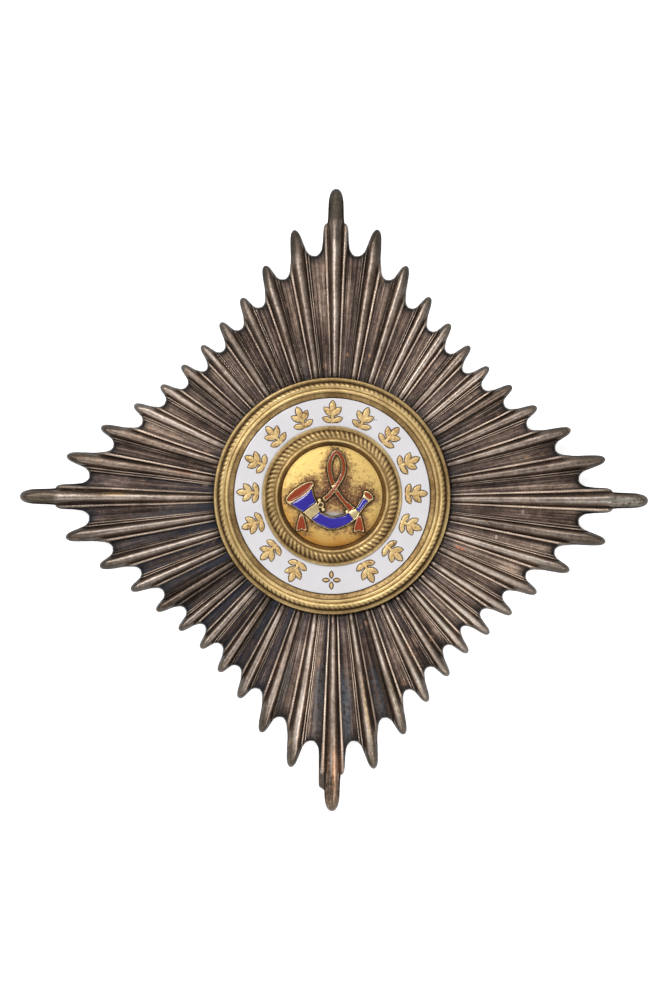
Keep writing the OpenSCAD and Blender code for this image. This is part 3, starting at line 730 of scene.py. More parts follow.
outer_bezel.piece("outer_bezel_turned", [gilt], "gilt", "outer_bezel")

# Enamel ring. A thin copper plate, domed a little and coated with opaque white enamel that is fired
# to a gloss. A painted shadow lies along its two edges, under the bezels' lips.
PLATE_INNER_R, PLATE_OUTER_R = 9.03, 13.09
ENAMEL_SEEN = (9.33, 13.12)
PLATE_LOW, PLATE_TOP, PLATE_CROWN = 0.53, 1.13, 0.08
CHIP = 0.06
# How far the painted shadow reaches in from the two edges that show, and how strong it is there
LIP_SHADOW_REACH, LIP_SHADOW_STRENGTH = 0.1, 0.6
WHITE_GLAZE, WHITE_GLAZE_DEEP = (0.625, 0.608, 0.625), (0.56, 0.548, 0.565)
SPECKS_AND_SHADOW = (0.09, 0.06, 0.045)


def plate_height(r):
    share = 2 * (r - PLATE_INNER_R) / (PLATE_OUTER_R - PLATE_INNER_R) - 1
    return PLATE_TOP + PLATE_CROWN * (1 - share ** 2)


def glazed(name, colour, deep):
    """Fired enamel: a little uneven in tone and in thickness, with a few pinholes."""
    enamel = Finish(name)
    spot, dirt = enamel.place(), enamel.shape("dirt")
    cloud, grain = enamel.noise(spot, 260, 3, 0.6), enamel.noise(spot, 900, 2, 0.5)
    tone = enamel.blend(((cloud - 0.35) * 1.6).kept(), colour, deep)
    # Specks, and the painted shadow that the dirt number carries under the ring's lips
    tone = enamel.blend((dirt + grain.spread(0.74, 0.78) * 0.6).kept(), tone, SPECKS_AND_SHADOW)
    return enamel.surface(Base_Color=tone, Coat_Weight=0.35, Coat_Roughness=0.12,
                          Roughness=(dirt * 0.5 + 0.12 + (cloud - 0.5) * 0.1).kept(),
                          Normal=enamel.bump(cloud + grain * 0.25, 0.25, 0.06 * MM))


enamel_ring = Shape()
radii = np.linspace(PLATE_INNER_R + CHIP, PLATE_OUTER_R - CHIP, 40)
from_lip = np.minimum(abs(radii - ENAMEL_SEEN[0]), abs(radii - ENAMEL_SEEN[1]))
lip_shadow = np.clip(1 - from_lip / LIP_SHADOW_REACH, 0, 1) * LIP_SHADOW_STRENGTH
turned(enamel_ring, [
    (PLATE_INNER_R, PLATE_LOW, 1), (PLATE_INNER_R, PLATE_TOP - CHIP, 1),
    *zip(radii, plate_height(radii), lip_shadow),
    (PLATE_OUTER_R, PLATE_TOP - CHIP, 1), (PLATE_OUTER_R, PLATE_LOW, 1)], closed=True)
enamel_ring.piece("enamel_ring_glazed", [glazed("white enamel", WHITE_GLAZE, WHITE_GLAZE_DEEP)],
                  "white_enamel", "enamel_ring")

# Gilt sprigs. Gold painted on the enamel and fired, slightly worn, over a thin dark outline.
# Fifteen sprigs of five leaves stand round the ring, and leave its foot free.
GILT_MID_R = 11.225
SPRIG_H, SPRIG_PITCH, SPRIGS_EACH_SIDE = 3.0, 22, 7
STEM_SHARE, STEM_HALF, STEM_ROWS = 0.62, 0.04, 8
# Place up the stem, length and width as shares of the sprig's height, and degrees off the stem
LEAVES = [
    (0.5, 0.5, 0.26, 0), (0.34, 0.52, 0.24, 46), (0.34, 0.52, 0.24, -46), (0.08, 0.46, 0.22, 70),
    (0.08, 0.46, 0.22, -70),
]
GILDING_LOW, GILDING_T, GILDING_PILLOW = 0.005, 0.045, 0.05
OUTLINE_W, OUTLINE_LOW, OUTLINE_T = 0.125, 0.002, 0.02
ACROSS = np.linspace(-1, 1, 9)
GILDING_TONES = [(0.0, (0.84, 0.62, 0.30)), (0.45, (0.62, 0.42, 0.18)),
                 (0.75, (0.36, 0.22, 0.085)), (1.0, (0.17, 0.095, 0.035))]
OUTLINE_DARK, OUTLINE_FADED = (0.045, 0.026, 0.014), (0.16, 0.10, 0.055)


def slab(shape, flat, heights, foot, slot=0, **numbers):
    """A block over a grid of places, from the heights of its foot to those of its top."""
    rows, across = flat.shape[:2]
    top, foot = (np.dstack([flat, np.broadcast_to(z, (rows, across))]) for z in (heights, foot))
    ends = [(start + i, start + i + 1, start + 2 * across - 2 - i, start + 2 * across - 1 - i)
            for start in (0, (rows - 1) * 2 * across) for i in range(across - 1)]
    numbers = {name: np.broadcast_to(value, (rows, across)) for name, value in numbers.items()}
    shape.shell(np.concatenate([top, foot[:, ::-1]], 1), [*grid_faces(rows, 2 * across), *ends],
                slot, **{name: np.concatenate([value, value[:, ::-1]], 1)
                         for name, value in numbers.items()})


def ribbon(line, half, across=ACROSS):
    """Places over a band that follows a line, half wide to either side of it."""
    half = np.broadcast_to(half, len(line))
    ahead = np.gradient(line, axis=0)
    ahead = ahead / np.linalg.norm(ahead, axis=1, keepdims=True)
    side = np.stack([-ahead[:, 1], ahead[:, 0]], -1)
    return line[:, None] + (half[:, None] * across[None])[..., None] * side[:, None]


def turned_by(flat, degrees, shift):
    turn = math.radians(degrees)
    spin = np.array([[math.cos(turn), math.sin(turn)], [-math.sin(turn), math.cos(turn)]])
    return flat @ spin + np.asarray(shift, float)


def leaf(length, width, grow=0.0):
    """Places over a pointed leaf that grows from the origin upwards."""
    up = (1 - np.cos(np.linspace(0, math.pi, 15))) / 2
    length, width = length + 2 * grow, width + 2 * grow
    curve_r = (length ** 2 + width ** 2) / (4 * width)
    half = np.sqrt(curve_r ** 2 - (up * length - length / 2) ** 2) - (curve_r - width / 2)
    return np.dstack([half[:, None] * ACROSS, (up * length - grow)[:, None] + 0 * ACROSS])


def gild(shape, gold, line, degrees, shift, swirl):
    """Lays a leaf's gold over its dark line on the enamel, turned to its place round the ring."""
    def laid(places, low, top, slot):
        places = turned_by(turned_by(places, degrees, shift), -swirl, MEDALLION_AT)
        out = np.hypot(*(places - MEDALLION_AT).transpose(2, 0, 1))
        ground = medallion_z + plate_height(out)
        slab(shape, places, ground + top, ground + low, slot)

    up_leaf = np.sin(np.linspace(0, math.pi, len(gold)))[:, None]
    laid(line, OUTLINE_LOW, OUTLINE_T, 1)
    laid(gold, GILDING_LOW,
         GILDING_T + GILDING_PILLOW * np.sqrt(1 - ACROSS[None] ** 2) * up_leaf, 0)


def fired_gold():
    gold = Finish("fired gilding")
    spot = gold.place()
    cloud, grain = gold.noise(spot, 900, 3, 0.65), gold.noise(spot, 3800, 2, 0.6)
    worn = ((cloud - 0.5) * 1.6 + (grain - 0.5) * 1.5 + 0.38).kept()
    return gold.surface(Base_Color=gold.ramp(worn, GILDING_TONES), Metallic=0.65,
                        Roughness=(0.42 + worn * 0.2).kept(),
                        Normal=gold.bump(cloud + grain * 0.5, 0.5, 0.04 * MM))


def umber_line():
    line = Finish("dark outline")
    fade = line.noise(line.place(), 1400, 2, 0.5).spread(0.45, 0.7)
    return line.surface(Base_Color=line.blend(fade, OUTLINE_DARK, OUTLINE_FADED), Roughness=0.5)


sprigs = Shape()
stem = np.stack([np.zeros(STEM_ROWS), np.linspace(0, STEM_SHARE * SPRIG_H, STEM_ROWS)], -1)
stem_half = np.linspace(2, 1, STEM_ROWS) * STEM_HALF * SPRIG_H
parts = [(ribbon(stem, stem_half), ribbon(stem, stem_half + OUTLINE_W), 0, 0)]
for up, long, wide, lean in LEAVES:
    long, wide = long * SPRIG_H, wide * SPRIG_H
    parts.append((leaf(long, wide), leaf(long, wide, OUTLINE_W), lean, up * SPRIG_H))
for i in range(-SPRIGS_EACH_SIDE, SPRIGS_EACH_SIDE + 1):
    for gold, line, lean, up in parts:
        gild(sprigs, gold, line, lean, (0, GILT_MID_R - SPRIG_H / 2 + up), i * SPRIG_PITCH)
gilding = [fired_gold(), umber_line()]
sprigs.piece("gilt_sprigs_fired", gilding, "gilding", "gilt_sprigs")

# Gilt quatrefoil. Four petals of the same gold over the same dark line, painted and fired at the
# foot of the ring, where the row of sprigs leaves room.
PETAL_L, PETAL_W, PETAL_LINE = 0.8, 0.33, 0.17
PETAL_OUT = 0.4 * PETAL_L
quatrefoil = Shape()
for turn in (0, 90, 180, 270):
    gild(quatrefoil, leaf(PETAL_L, PETAL_W), leaf(PETAL_L, PETAL_W, PETAL_LINE), turn,
         turned_by(np.array([0, PETAL_OUT]), turn, (0, -GILT_MID_R)), 0)
quatrefoil.piece("gilt_quatrefoil_fired", gilding, "gilding", "gilt_quatrefoil")

# Inner bezel. A second turned and gilt ring, set in the plate's hole: a narrow flange, a bold rope
# moulding, a plain wire and a steep slope down to the gold centre.
INNER_ROPE, INNER_WIRE = (8.23, 1.39, 0.65), (7.41, 1.71, 0.17)
INNER_STRANDS, INNER_LEAN, INNER_PLUMP = 80, 6.0, 1.25
INNER_GROOVES = [(0, 0.07, 0.6), (30, 0.12, 0.3), (60, 0.14, 0.16), (95, 0.11, 0.06),
                 (130, 0.05, 0.04), (150, 0.02, 0.1), (165, 0.01, 0.25), (180, 0, 0.5), (360, 0, 1)]
inner_bezel = Shape()
turned(inner_bezel, [
    (6.95, 0.53, 1), (9.0, 0.53, 1), (9.0, 1.2, 1), (9.33, 1.21, 1), (9.335, 1.26, 0.5),
    (9.31, 1.3, 0.25), (9.25, 1.325, 0.1), (9.18, 1.32, 0.15), (9.1, 1.3, 0.2), (8.98, 1.3, 0.35),
    (8.9, 1.35, 0.5), (8.8, 1.5, 0.6), (8.2, 1.72, 1), (7.66, 1.7, 0.45), (7.58, 1.7, 0.4),
    *arc(INNER_WIRE, 10, 175, 10, 0.1), (7.2, 1.66, 0.6), (7.14, 1.6, 0.62), (7.0, 1.42, 0.6),
    (6.86, 1.2, 0.7), (6.77, 1.02, 1), (6.72, 0.985, 1), (6.95, 0.98, 1),
], closed=True)
rope(inner_bezel, INNER_ROPE, INNER_STRANDS, INNER_LEAN, INNER_PLUMP, INNER_GROOVES, rows_round=32)
inner_bezel.piece("inner_bezel_turned", [gilt], "gilt", "inner_bezel")

# Gold centre. A crowned gilt disc, with the horn, its cord and its tassels raised on it. Their tops
# are hollowed into cells for the enamel, and a dark granular patina has settled round them.
CENTRE_R, CENTRE_LAP = 6.72, 0.2
DISC_LOW, DISC_EDGE, DISC_CROWN = 0.53, 0.95, 0.4
DISC_ROWS, DISC_COLUMNS = 96, 360
RELIEF_LOW, RELIEF_TOP, CELL_FLOOR = 0.8, 1.65, 1.35
CELL_EDGE, MOUTH_EDGE, COLLAR_RISE, EDGE_DROP = 0.13, 0.2, 0.09, 0.07
# How far a cell's wall slopes, the share of an edge that is rounded, and rows that a collar slopes
CELL_SLOPE, EDGE_ROUNDED, COLLAR_SLOPE = 0.03, 0.45, 0.03
# Place across, place up and half-width, as shares of the centre's radius, from bell to mouthpiece
HORN = CENTRE_R * np.array([
    (-0.655, 0.045, 0.300), (-0.548, -0.100, 0.228), (-0.442, -0.223, 0.172),
    (-0.325, -0.385, 0.120), (-0.202, -0.473, 0.124), (0.020, -0.537, 0.125),
    (0.242, -0.481, 0.108), (0.379, -0.406, 0.098), (0.445, -0.345, 0.088), (0.513, -0.286, 0.062),
    (0.668, -0.068, 0.077), (0.722, 0.012, 0.105),
])
# Rows of the horn between which its cells lie
BLUE_CELLS = [(0.42, 2.05), (2.95, 7.1), (8.95, 10.1)]
# Place across, place up, half-length and half-width of the two mouths, and their tilt in degrees
MOUTHS = np.array([(-0.640, 0.078, 0.330, 0.105, 35), (0.722, 0.012, 0.118, 0.064, -42)])
MOUTHS[:, :4] *= CENTRE_R
CORD_HALF = 0.29
# Place across, place up and half-width, as shares of the centre's radius and of the cord's own
CORD = np.array([
    (-0.158, -0.073, 1), (-0.040, 0.040, 1), (0.060, 0.170, 1), (0.150, 0.310, 1),
    (0.212, 0.450, 1), (0.230, 0.600, 1), (0.190, 0.770, 1), (0.085, 0.878, 1), (-0.015, 0.770, 1),
    (-0.057, 0.600, 1), (-0.045, 0.450, 1), (0.000, 0.290, 1), (0.060, 0.140, 1), (0.150, 0.000, 1),
    (0.255, -0.125, 1), (0.325, -0.195, 1.3), (0.400, -0.270, 1.5),
]) * (CENTRE_R, CENTRE_R, CORD_HALF)
# Rows of the cord where it goes under itself, comes out and ends, and how many rows a millimetre is
CORD_PASSES_UNDER, CORD_COMES_OUT, CORD_ENDS = 11.45, 12.25, 16
ROWS_PER_MM = 0.6
# Place across, place up and radius of the horn's loop and of the knobs beside its collars
LOOP, *KNOBS = CENTRE_R * np.array([
    (-0.222, -0.180, 0.066), (-0.252, -0.085, 0.045), (-0.175, -0.268, 0.045),
    (0.300, -0.310, 0.045),
])
TASSELS = CENTRE_R * np.array([(-0.604, -0.375), (0.541, -0.390)])
TASSEL_H, HEM_NOTCH, HEM_ROUND, TASSEL_ROWS = 2.25, 0.16, 0.06, 18
SKIRT_HALF = 0.315 * TASSEL_H
# Half-width as a share of the skirt's, and way down as a share of the tassel's height
TASSEL_SIDE = [
    (0.35, 0), (0.55, 0.22), (0.78, 0.45), (0.95, 0.72), (1, 0.88), (0.97, 1.0),
]
# Middle of the heaviest patina and of a bare streak, and how far each reaches across and up
PATINA_AT, PATINA_REACH = (1.0, 0.7), (3.9, 2.6)
BARE_AT, BARE_REACH = (0.2, -2.5), (1.6, 0.42)
BRIGHT_GOLD, REFLECTED_AMBER, BROWN_GOLD = (0.87, 0.61, 0.21), (0.6, 0.27, 0.045), (0.25, 0.135, 0.062)
SPECK_BROWN, RUST_BROWN, GLINT = (0.065, 0.033, 0.022), (0.60, 0.25, 0.08), (0.75, 0.66, 0.52)
BARE_METAL, RELIEF_SHADOW_TONE = (0.50, 0.50, 0.50), (0.03, 0.018, 0.01)
CELL_TONES = [(0.0, (0.86, 0.68, 0.36)), (0.4, (0.48, 0.33, 0.15)), (1.0, (0.09, 0.05, 0.025))]


def curve(rows, at):
    """A smooth line through the rows of a table, at row numbers that need not be whole."""
    at = np.minimum(at, len(rows) - 1.001)
    i, f = np.floor(at).astype(int), (at % 1)[:, None]
    a, b, c, d = (rows[np.clip(i + k, 0, len(rows) - 1)] for k in (-1, 0, 1, 2))
    return (2 * b + (c - a) * f + (2 * a - 5 * b + 4 * c - d) * f ** 2
            + (3 * b - a - 3 * c + d) * f ** 3) / 2


def along(rows, first, last, steps, inset=0.0, across=ACROSS):
    """Places over a band that follows such a line from one row number to another."""
    line = curve(rows, np.linspace(first + inset * ROWS_PER_MM, last - inset * ROWS_PER_MM, steps))
    return ribbon(line[:, :2], line[:, 2] - inset, across)


def tassel(at, inset):
    """Places over a tassel: a narrow neck, a wide skirt and a notch in the hem."""
    down = np.linspace(0, 1, TASSEL_ROWS)
    half = (SKIRT_HALF - inset) * read([row[::-1] for row in TASSEL_SIDE], down)
    across, down = np.linspace(-1, 1, 13), down[:, None]
    hem = 1 - HEM_NOTCH * (1 - abs(across)) * down ** 3 - HEM_ROUND * abs(across) ** 3 * down ** 6
    drop = (TASSEL_H - 2 * inset) * down * hem + inset
    return np.dstack([at[0] + half[:, None] * across, at[1] - drop])


def ellipse(long, wide, step):
    """Places round an ellipse, one every so many degrees."""
    turns = np.radians(np.arange(0, 360, step))
    return np.stack([long * np.cos(turns), wide * np.sin(turns)], -1)


def disc_height(flat):
    out = np.hypot(flat[..., 0], flat[..., 1]) / (CENTRE_R + CENTRE_LAP)
    return DISC_EDGE + DISC_CROWN * (1 - out ** 2)


def oval(shape, mouth, section):
    """Rings inside an ellipse, of which the section gives place inwards, height and dirt."""
    x, y, long, wide, tilt = mouth
    rings = np.array([turned_by(ellipse(max(long - inset, 0), max(wide - inset, 0), 6), tilt,
                                MEDALLION_AT + (x, y)) for inset, _, _ in section])
    count, around = rings.shape[:2]
    _, z, dirt = (np.array(values, float)[:, None] + np.zeros(around) for values in zip(*section))
    last = (count - 1) * around
    shape.shell(np.dstack([rings, medallion_z + z]),
                [*grid_faces(count, around), range(last, last + around), range(around)],
                near=2.0, relief=1.0, dirt=dirt)


def from_ends(steps):
    """How far each row of a band is from the nearer of its ends, as a share of its length."""
    return np.minimum(np.linspace(0, 1, steps), np.linspace(1, 0, steps))


FINE_ACROSS = np.concatenate([np.linspace(-1, -0.7, 12), np.linspace(-0.6, 0.6, 9),
                              np.linspace(0.7, 1, 12)])
centre = Shape()

# The points along every outline of the relief, that the patina settles against
bands = [along(HORN, 0, len(HORN) - 1, 90), along(CORD, 0, CORD_ENDS, 150),
         *(tassel(at, 0) for at in TASSELS)]
borders = [band[:, [0, -1]].reshape(-1, 2) for band in bands]
borders += [tassel(at, 0)[-1] for at in TASSELS]
borders += [turned_by(ellipse(long, wide, 5), tilt, (x, y)) for x, y, long, wide, tilt in MOUTHS]
borders += [ellipse(r, r, 5) + (x, y) for x, y, r in (LOOP, *KNOBS)]
disc_r = np.linspace(0, CENTRE_R + CENTRE_LAP, DISC_ROWS)[:, None]
disc_turn = np.linspace(0, 2 * math.pi, DISC_COLUMNS, endpoint=False)
disc = np.dstack([disc_r * np.sin(disc_turn), disc_r * np.cos(disc_turn)])
near = how_far(disc, np.concatenate(borders))


def hill(middle, reach):
    return np.exp(-(((disc - middle) / reach) ** 2).sum(-1))


# Patina that has settled, a bare streak, and a painted amber reflection towards the foot of the
# disc
on_disc = {"near": near, "bare": hill(BARE_AT, BARE_REACH),
           "settled": np.clip(1 - near / 1.5, 0, 1) * 0.75 + 0.78 * hill(PATINA_AT, PATINA_REACH),
           "amber": (np.clip((disc_r - 4.3) / 2.2, 0, 1)
                     * np.clip(-np.cos(disc_turn - 0.25) * 1.4, 0, 1))}
disc_top = np.dstack([disc + MEDALLION_AT, medallion_z + disc_height(disc)])
disc_under = np.dstack([disc[[-1, 0]] + MEDALLION_AT,
                        np.full((2, DISC_COLUMNS), medallion_z + DISC_LOW)])
centre.shell(np.concatenate([disc_top, disc_under]), grid_faces(DISC_ROWS + 2, DISC_COLUMNS),
             relief=0.0, **{name: np.concatenate([values, values[-1:], values[:1]])
                            for name, values in on_disc.items()})


def within_mouths(flat):
    """Whether each place lies inside one of the horn's two mouths."""
    found = np.zeros(flat.shape[:2], bool)
    for x, y, long, wide, tilt in MOUTHS:
        own = turned_by(flat - (x, y), -tilt, (0, 0)) / (np.array([long, wide]) - 0.07)
        found |= (own ** 2).sum(-1) < 1
    return found


def raised(places, top, ends):
    """A raised band, whose middle is sunk to a cell's floor where ends is 1."""
    half = np.linalg.norm(places[:, 0] - places[:, -1], axis=1)[:, None] / 2
    inside = half * (1 - abs(np.linspace(-1, 1, places.shape[1])))
    sunk = np.clip((inside - CELL_EDGE) / CELL_SLOPE, 0, 1) * ends[:, None]
    up_edge = np.clip(inside / (CELL_EDGE * EDGE_ROUNDED), 0, 1)
    edge = np.sqrt(np.clip(1 - (1 - up_edge) ** 2, 0, 1))
    heights = top - EDGE_DROP * (1 - edge) - (top - CELL_FLOOR) * sunk
    heights = np.where(within_mouths(places), CELL_FLOOR - 0.1, heights)
    slab(centre, places + MEDALLION_AT, medallion_z + heights, medallion_z + RELIEF_LOW,
         near=2.0, relief=1.0, dirt=1 - edge)


# The horn, with its mouths, its loop and the knobs beside its collars
horn_at = np.linspace(0, len(HORN) - 1, 260)
in_cell = np.max([np.clip(np.minimum(horn_at - first, last - horn_at) / COLLAR_SLOPE, 0, 1)
                  for first, last in BLUE_CELLS], 0)
horn_line = curve(HORN, horn_at)
collars = COLLAR_RISE * (1 - in_cell[:, None]) * np.sqrt(1 - FINE_ACROSS ** 2)
raised(ribbon(horn_line[:, :2], horn_line[:, 2], FINE_ACROSS), RELIEF_TOP + collars, in_cell)
for mouth in MOUTHS:
    oval(centre, mouth, [
        (0, RELIEF_LOW, 1), (0, RELIEF_TOP - EDGE_DROP, 0.6), (0.03, RELIEF_TOP, 0),
        (0.09, RELIEF_TOP + 0.05, 0), (MOUTH_EDGE - 0.05, RELIEF_TOP, 0),
        (MOUTH_EDGE - 0.03, CELL_FLOOR, 1)])

# The cord in three lengths, of which the middle one passes under the first
UNDER_FROM, CORD_LAP, UNDER_DROP, CORD_ROWS, LOWER_ROWS = 7.2, 0.25, 0.03, 110, 60
for first, last in ((0, UNDER_FROM + 0.2), (CORD_COMES_OUT - CORD_LAP, CORD_ENDS)):
    raised(along(CORD, first, last, CORD_ROWS, 0, FINE_ACROSS), RELIEF_TOP,
           np.clip(from_ends(CORD_ROWS) / 0.02 - 1, 0, 1))
raised(along(CORD, UNDER_FROM, CORD_PASSES_UNDER + CORD_LAP, LOWER_ROWS, 0, FINE_ACROSS),
       RELIEF_TOP - UNDER_DROP, np.clip(np.linspace(1, 0, LOWER_ROWS) / 0.04 - 1, 0, 1))

for x, y, r in KNOBS:
    oval(centre, (x, y, r, r, 0), [
        (0, RELIEF_LOW, 1), (0, RELIEF_TOP - 0.2, 0.4), (0.06, RELIEF_TOP - 0.06, 0.1),
        (0.14, RELIEF_TOP + 0.04, 0), (r - 0.02, RELIEF_TOP + 0.08, 0)])
x, y, r = LOOP
oval(centre, (x, y, r, r, 0), [
    (0, RELIEF_LOW, 1), (0, RELIEF_TOP - 0.15, 0.6), (0.05, RELIEF_TOP - 0.03, 0.1),
    (0.11, RELIEF_TOP, 0), (0.17, RELIEF_TOP - 0.04, 0.3), (0.2, RELIEF_TOP - 0.25, 1),
    (r - 0.02, RELIEF_TOP - 0.26, 1)])
for at in TASSELS:
    raised(tassel(at, 0), RELIEF_TOP, np.clip(from_ends(TASSEL_ROWS) / 0.05 - 0.8, 0, 1))


def patinated_gold():
    gold = Finish("patinated gold")
    spot = gold.place()
    near, relief, dirt, settled, bare, amber = (
        gold.shape(name) for name in ("near", "relief", "dirt", "settled", "bare", "amber"))
    cloud, grain, fine = (gold.noise(spot, scale, detail, 0.6)
                          for scale, detail in ((500, 3), (5200, 2), (2300, 2)))
    ground = (settled * 0.9 + (cloud - 0.5) * 0.7 + (fine - 0.5) * 1.5 - 0.02).kept()
    specks = ((grain - 0.5) * 3.6 + (fine - 0.5) * 1.4 + settled * 0.85 - 0.3).kept()
    # Painted reflection of the bezel's wall, and painted shade, in amber towards the foot of the
    # disc
    plain = gold.blend((amber * 0.9 + (cloud - 0.5) * amber).kept(), BRIGHT_GOLD, REFLECTED_AMBER)
    plain = gold.blend(ground.spread(0.0, 0.9), plain, BROWN_GOLD)
    plain = gold.blend((specks.spread(0.15, 0.9) * 0.85).kept(), plain, SPECK_BROWN)
    glint = (fine * 0.5 + cloud * 0.5).spread(0.58, 0.66) * settled.spread(0.4, 0.9)
    plain = gold.blend((glint * 0.55).kept(), plain, GLINT)
    plain = gold.blend((bare * 0.95 + (fine - 0.6) * bare).kept(), plain, BARE_METAL)
    rust = fine.spread(0.58, 0.68) * settled.spread(0.3, 0.9) * 0.8
    plain = gold.blend(rust, plain, RUST_BROWN)
    edge = (dirt + (fine - 0.5) * 0.6 + (cloud - 0.5) * 0.5).kept()
    colour = gold.blend(relief, plain, gold.ramp(edge, CELL_TONES))
    patina = (specks * 0.5 + ground * 0.5) * (1 - relief)
    # A painted shadow round the foot of the relief
    relief_shadow = (1 - near.spread(0.05, 0.24)) * (1 - relief)
    colour = gold.blend((relief_shadow * 0.92).kept(), colour, RELIEF_SHADOW_TONE)
    dents = grain * (patina * 0.8 + 0.2) + cloud * 0.6
    return gold.surface(Base_Color=colour, Metallic=0.85, Normal=gold.bump(dents, 0.6, 0.06 * MM),
                        Roughness=(0.47 + patina * 0.25 - relief * 0.1).kept())


centre.piece("gold_centre_chased", [patinated_gold()], "gold", "gold_centre")

# Blue enamel. Ground glass, laid in the horn's three long cells and fired, so that it stands
# rounded a little over their gold edges.
CELL_GAP, ENAMEL_PROUD, BLUE_CROWN = 0.03, 0.03, 0.15
BLUE_GLAZE, BLUE_GLAZE_DEEP = (0.035, 0.026, 0.30), (0.018, 0.012, 0.14)
SMOOTH_ACROSS = np.linspace(-1, 1, 25)


def inlay(shape, places, crown):
    """Enamel that fills a cell, and swells above its edges."""
    rows, across = places.shape[:2]
    end = np.sqrt(np.clip(from_ends(rows) * 7, 0, 1))
    swell = np.sqrt(1 - np.linspace(-1, 1, across) ** 2) * end[:, None]
    slab(shape, places + MEDALLION_AT,
         medallion_z + RELIEF_TOP + ENAMEL_PROUD - 0.05 + crown * swell,
         medallion_z + CELL_FLOOR + CELL_GAP, dirt=0.0)


blue = Shape()
for first, last in BLUE_CELLS:
    inlay(blue, along(HORN, first, last, 90, CELL_EDGE, SMOOTH_ACROSS), BLUE_CROWN)
blue.piece("blue_enamel_fired", [glazed("blue enamel", BLUE_GLAZE, BLUE_GLAZE_DEEP)],
           "blue_enamel", "blue_enamel")

# Red enamel. A brownish red glass, fired into the horn's two mouths. It has sunk a little in the
# middle of each.
RED_GLAZE, RED_GLAZE_DEEP = (0.275, 0.046, 0.015), (0.115, 0.017, 0.009)
red_glaze = glazed("red enamel", RED_GLAZE, RED_GLAZE_DEEP)
mouths = Shape()
for mouth in MOUTHS:
    middle = min(mouth[3] - 0.02, 0.45)
    oval(mouths, mouth, [
        (MOUTH_EDGE, CELL_FLOOR + CELL_GAP, 0), (MOUTH_EDGE, RELIEF_TOP - 0.04, 0),
        (MOUTH_EDGE + 0.05, RELIEF_TOP, 0), (MOUTH_EDGE + 0.14, RELIEF_TOP - 0.03, 0),
        (middle, RELIEF_TOP - 0.05, 0)])
mouths.piece("red_enamel_fired", [red_glaze], "red_enamel", "red_enamel")

# Cord enamel. The same red, fired into the groove of the hanging cord in two runs: one round its
# loop, and one from under the crossing to the collar.
CORD_CROWN, CORD_FOOT_CROWN = 0.05, 0.06
cord = Shape()
inlay(cord, along(CORD, 0.2, CORD_PASSES_UNDER, 160, CELL_EDGE, SMOOTH_ACROSS), CORD_CROWN)
inlay(cord, along(CORD, CORD_COMES_OUT, CORD_ENDS, 60, CELL_EDGE, SMOOTH_ACROSS), CORD_FOOT_CROWN)
cord.piece("cord_enamel_fired", [red_glaze], "red_enamel", "cord_enamel")

# Tassel enamel. The same red again, one fill in each of the two tassels, rounded over the gold edge
# that is left round it.
TASSEL_CROWN = 0.05
tassels = Shape()
for at in TASSELS:
    inlay(tassels, tassel(at, CELL_EDGE), TASSEL_CROWN)
tassels.piece("tassel_enamel_fired", [red_glaze], "red_enamel", "tassel_enamel")

# Brooch pin. A hinge and a hooked catch of silver sheet, soldered to the back on small plates, and
# a flat tapered blade that turns on the hinge's rivet. Filed smooth, and dull where solder ran.
PIN_X, HINGE_Y, CATCH_Y = -1.22, 29.12, -29.12
PLATE_HALF_W, PLATE_HALF_L, PLATE_T, PLATE_CORNER = 1.6, 1.5, 0.34, 0.35
# How far a plate's outlines lie under the dome, how much smaller each is, and the solder there
PLATE_OUTLINES = [(0.04, 0.04, 1), (0.1, 0, 0.8), (PLATE_T - 0.06, 0, 0.2), (PLATE_T, 0.06, 0)]
KNUCKLE_R, KNUCKLE_Z, RIVET_R = 0.5, 1.02, 0.2
# The hinge's ears, from side to side, and place across and radius along the knuckle and the rivet
EARS = [(-1.5, -0.78), (0.78, 1.5)]
KNUCKLE = [(-0.74, 0.4), (-0.7, 0.45), (0.7, 0.45), (0.74, 0.4)]
RIVET = [(-1.6, 0.06), (-1.58, 0.16), (-1.5, RIVET_R), (1.5, RIVET_R), (1.58, 0.16), (1.6, 0.06)]
BLADE_HALF_T, BLADE_CORNER = 0.16, 0.11
BLADE_END_Y, BLADE_END_Z, BLADE_SLOPE = -39.19, 0.21, math.tan(math.radians(0.7535))
# Distance up from the blade's end, and its left and right edges
BLADE_EDGES = [
    (0, 0.22, 0.34), (0.12, 0.08, 0.46), (0.3, -0.15, 0.58), (0.6, -0.56, 0.6), (1.0, -0.6, 0.6),
    (30, -0.66, 0.66), (60, -0.73, 0.73), (67.8, -0.75, 0.75),
]
# The catch's hook, bent round under the blade: across, height, and half its thickness
HOOK = np.array([
    (-1.25, 1.75, 0.14), (-1.27, 1.2, 0.14), (-1.27, 0.62, 0.13), (-1.2, 0.34, 0.11),
    (-1.03, 0.17, 0.08), (-0.75, 0.113, 0.062), (0, 0.112, 0.06), (0.7, 0.113, 0.06),
    (0.98, 0.15, 0.06), (1.12, 0.24, 0.06),
])
HOOK_HALF_W, HOOK_CORNER, HOOK_STEPS = 0.85, 0.25, 40
FILED_TONES = [(0.0, (0.05, 0.038, 0.03)), (0.4, (0.19, 0.155, 0.125)), (1.0, (0.46, 0.41, 0.36))]


def block_outline(half_a, half_b, corner):
    """An outline of a rectangle with rounded corners."""
    quarter, places = np.radians(np.linspace(0, 90, 5)), []
    for side_a, side_b, start in ((1, 1, 0), (-1, 1, 90), (-1, -1, 180), (1, -1, 270)):
        turns = quarter + math.radians(start)
        places.append(np.stack([side_a * (half_a - corner) + corner * np.cos(turns),
                                side_b * (half_b - corner) + corner * np.sin(turns)], -1))
    return np.concatenate(places)


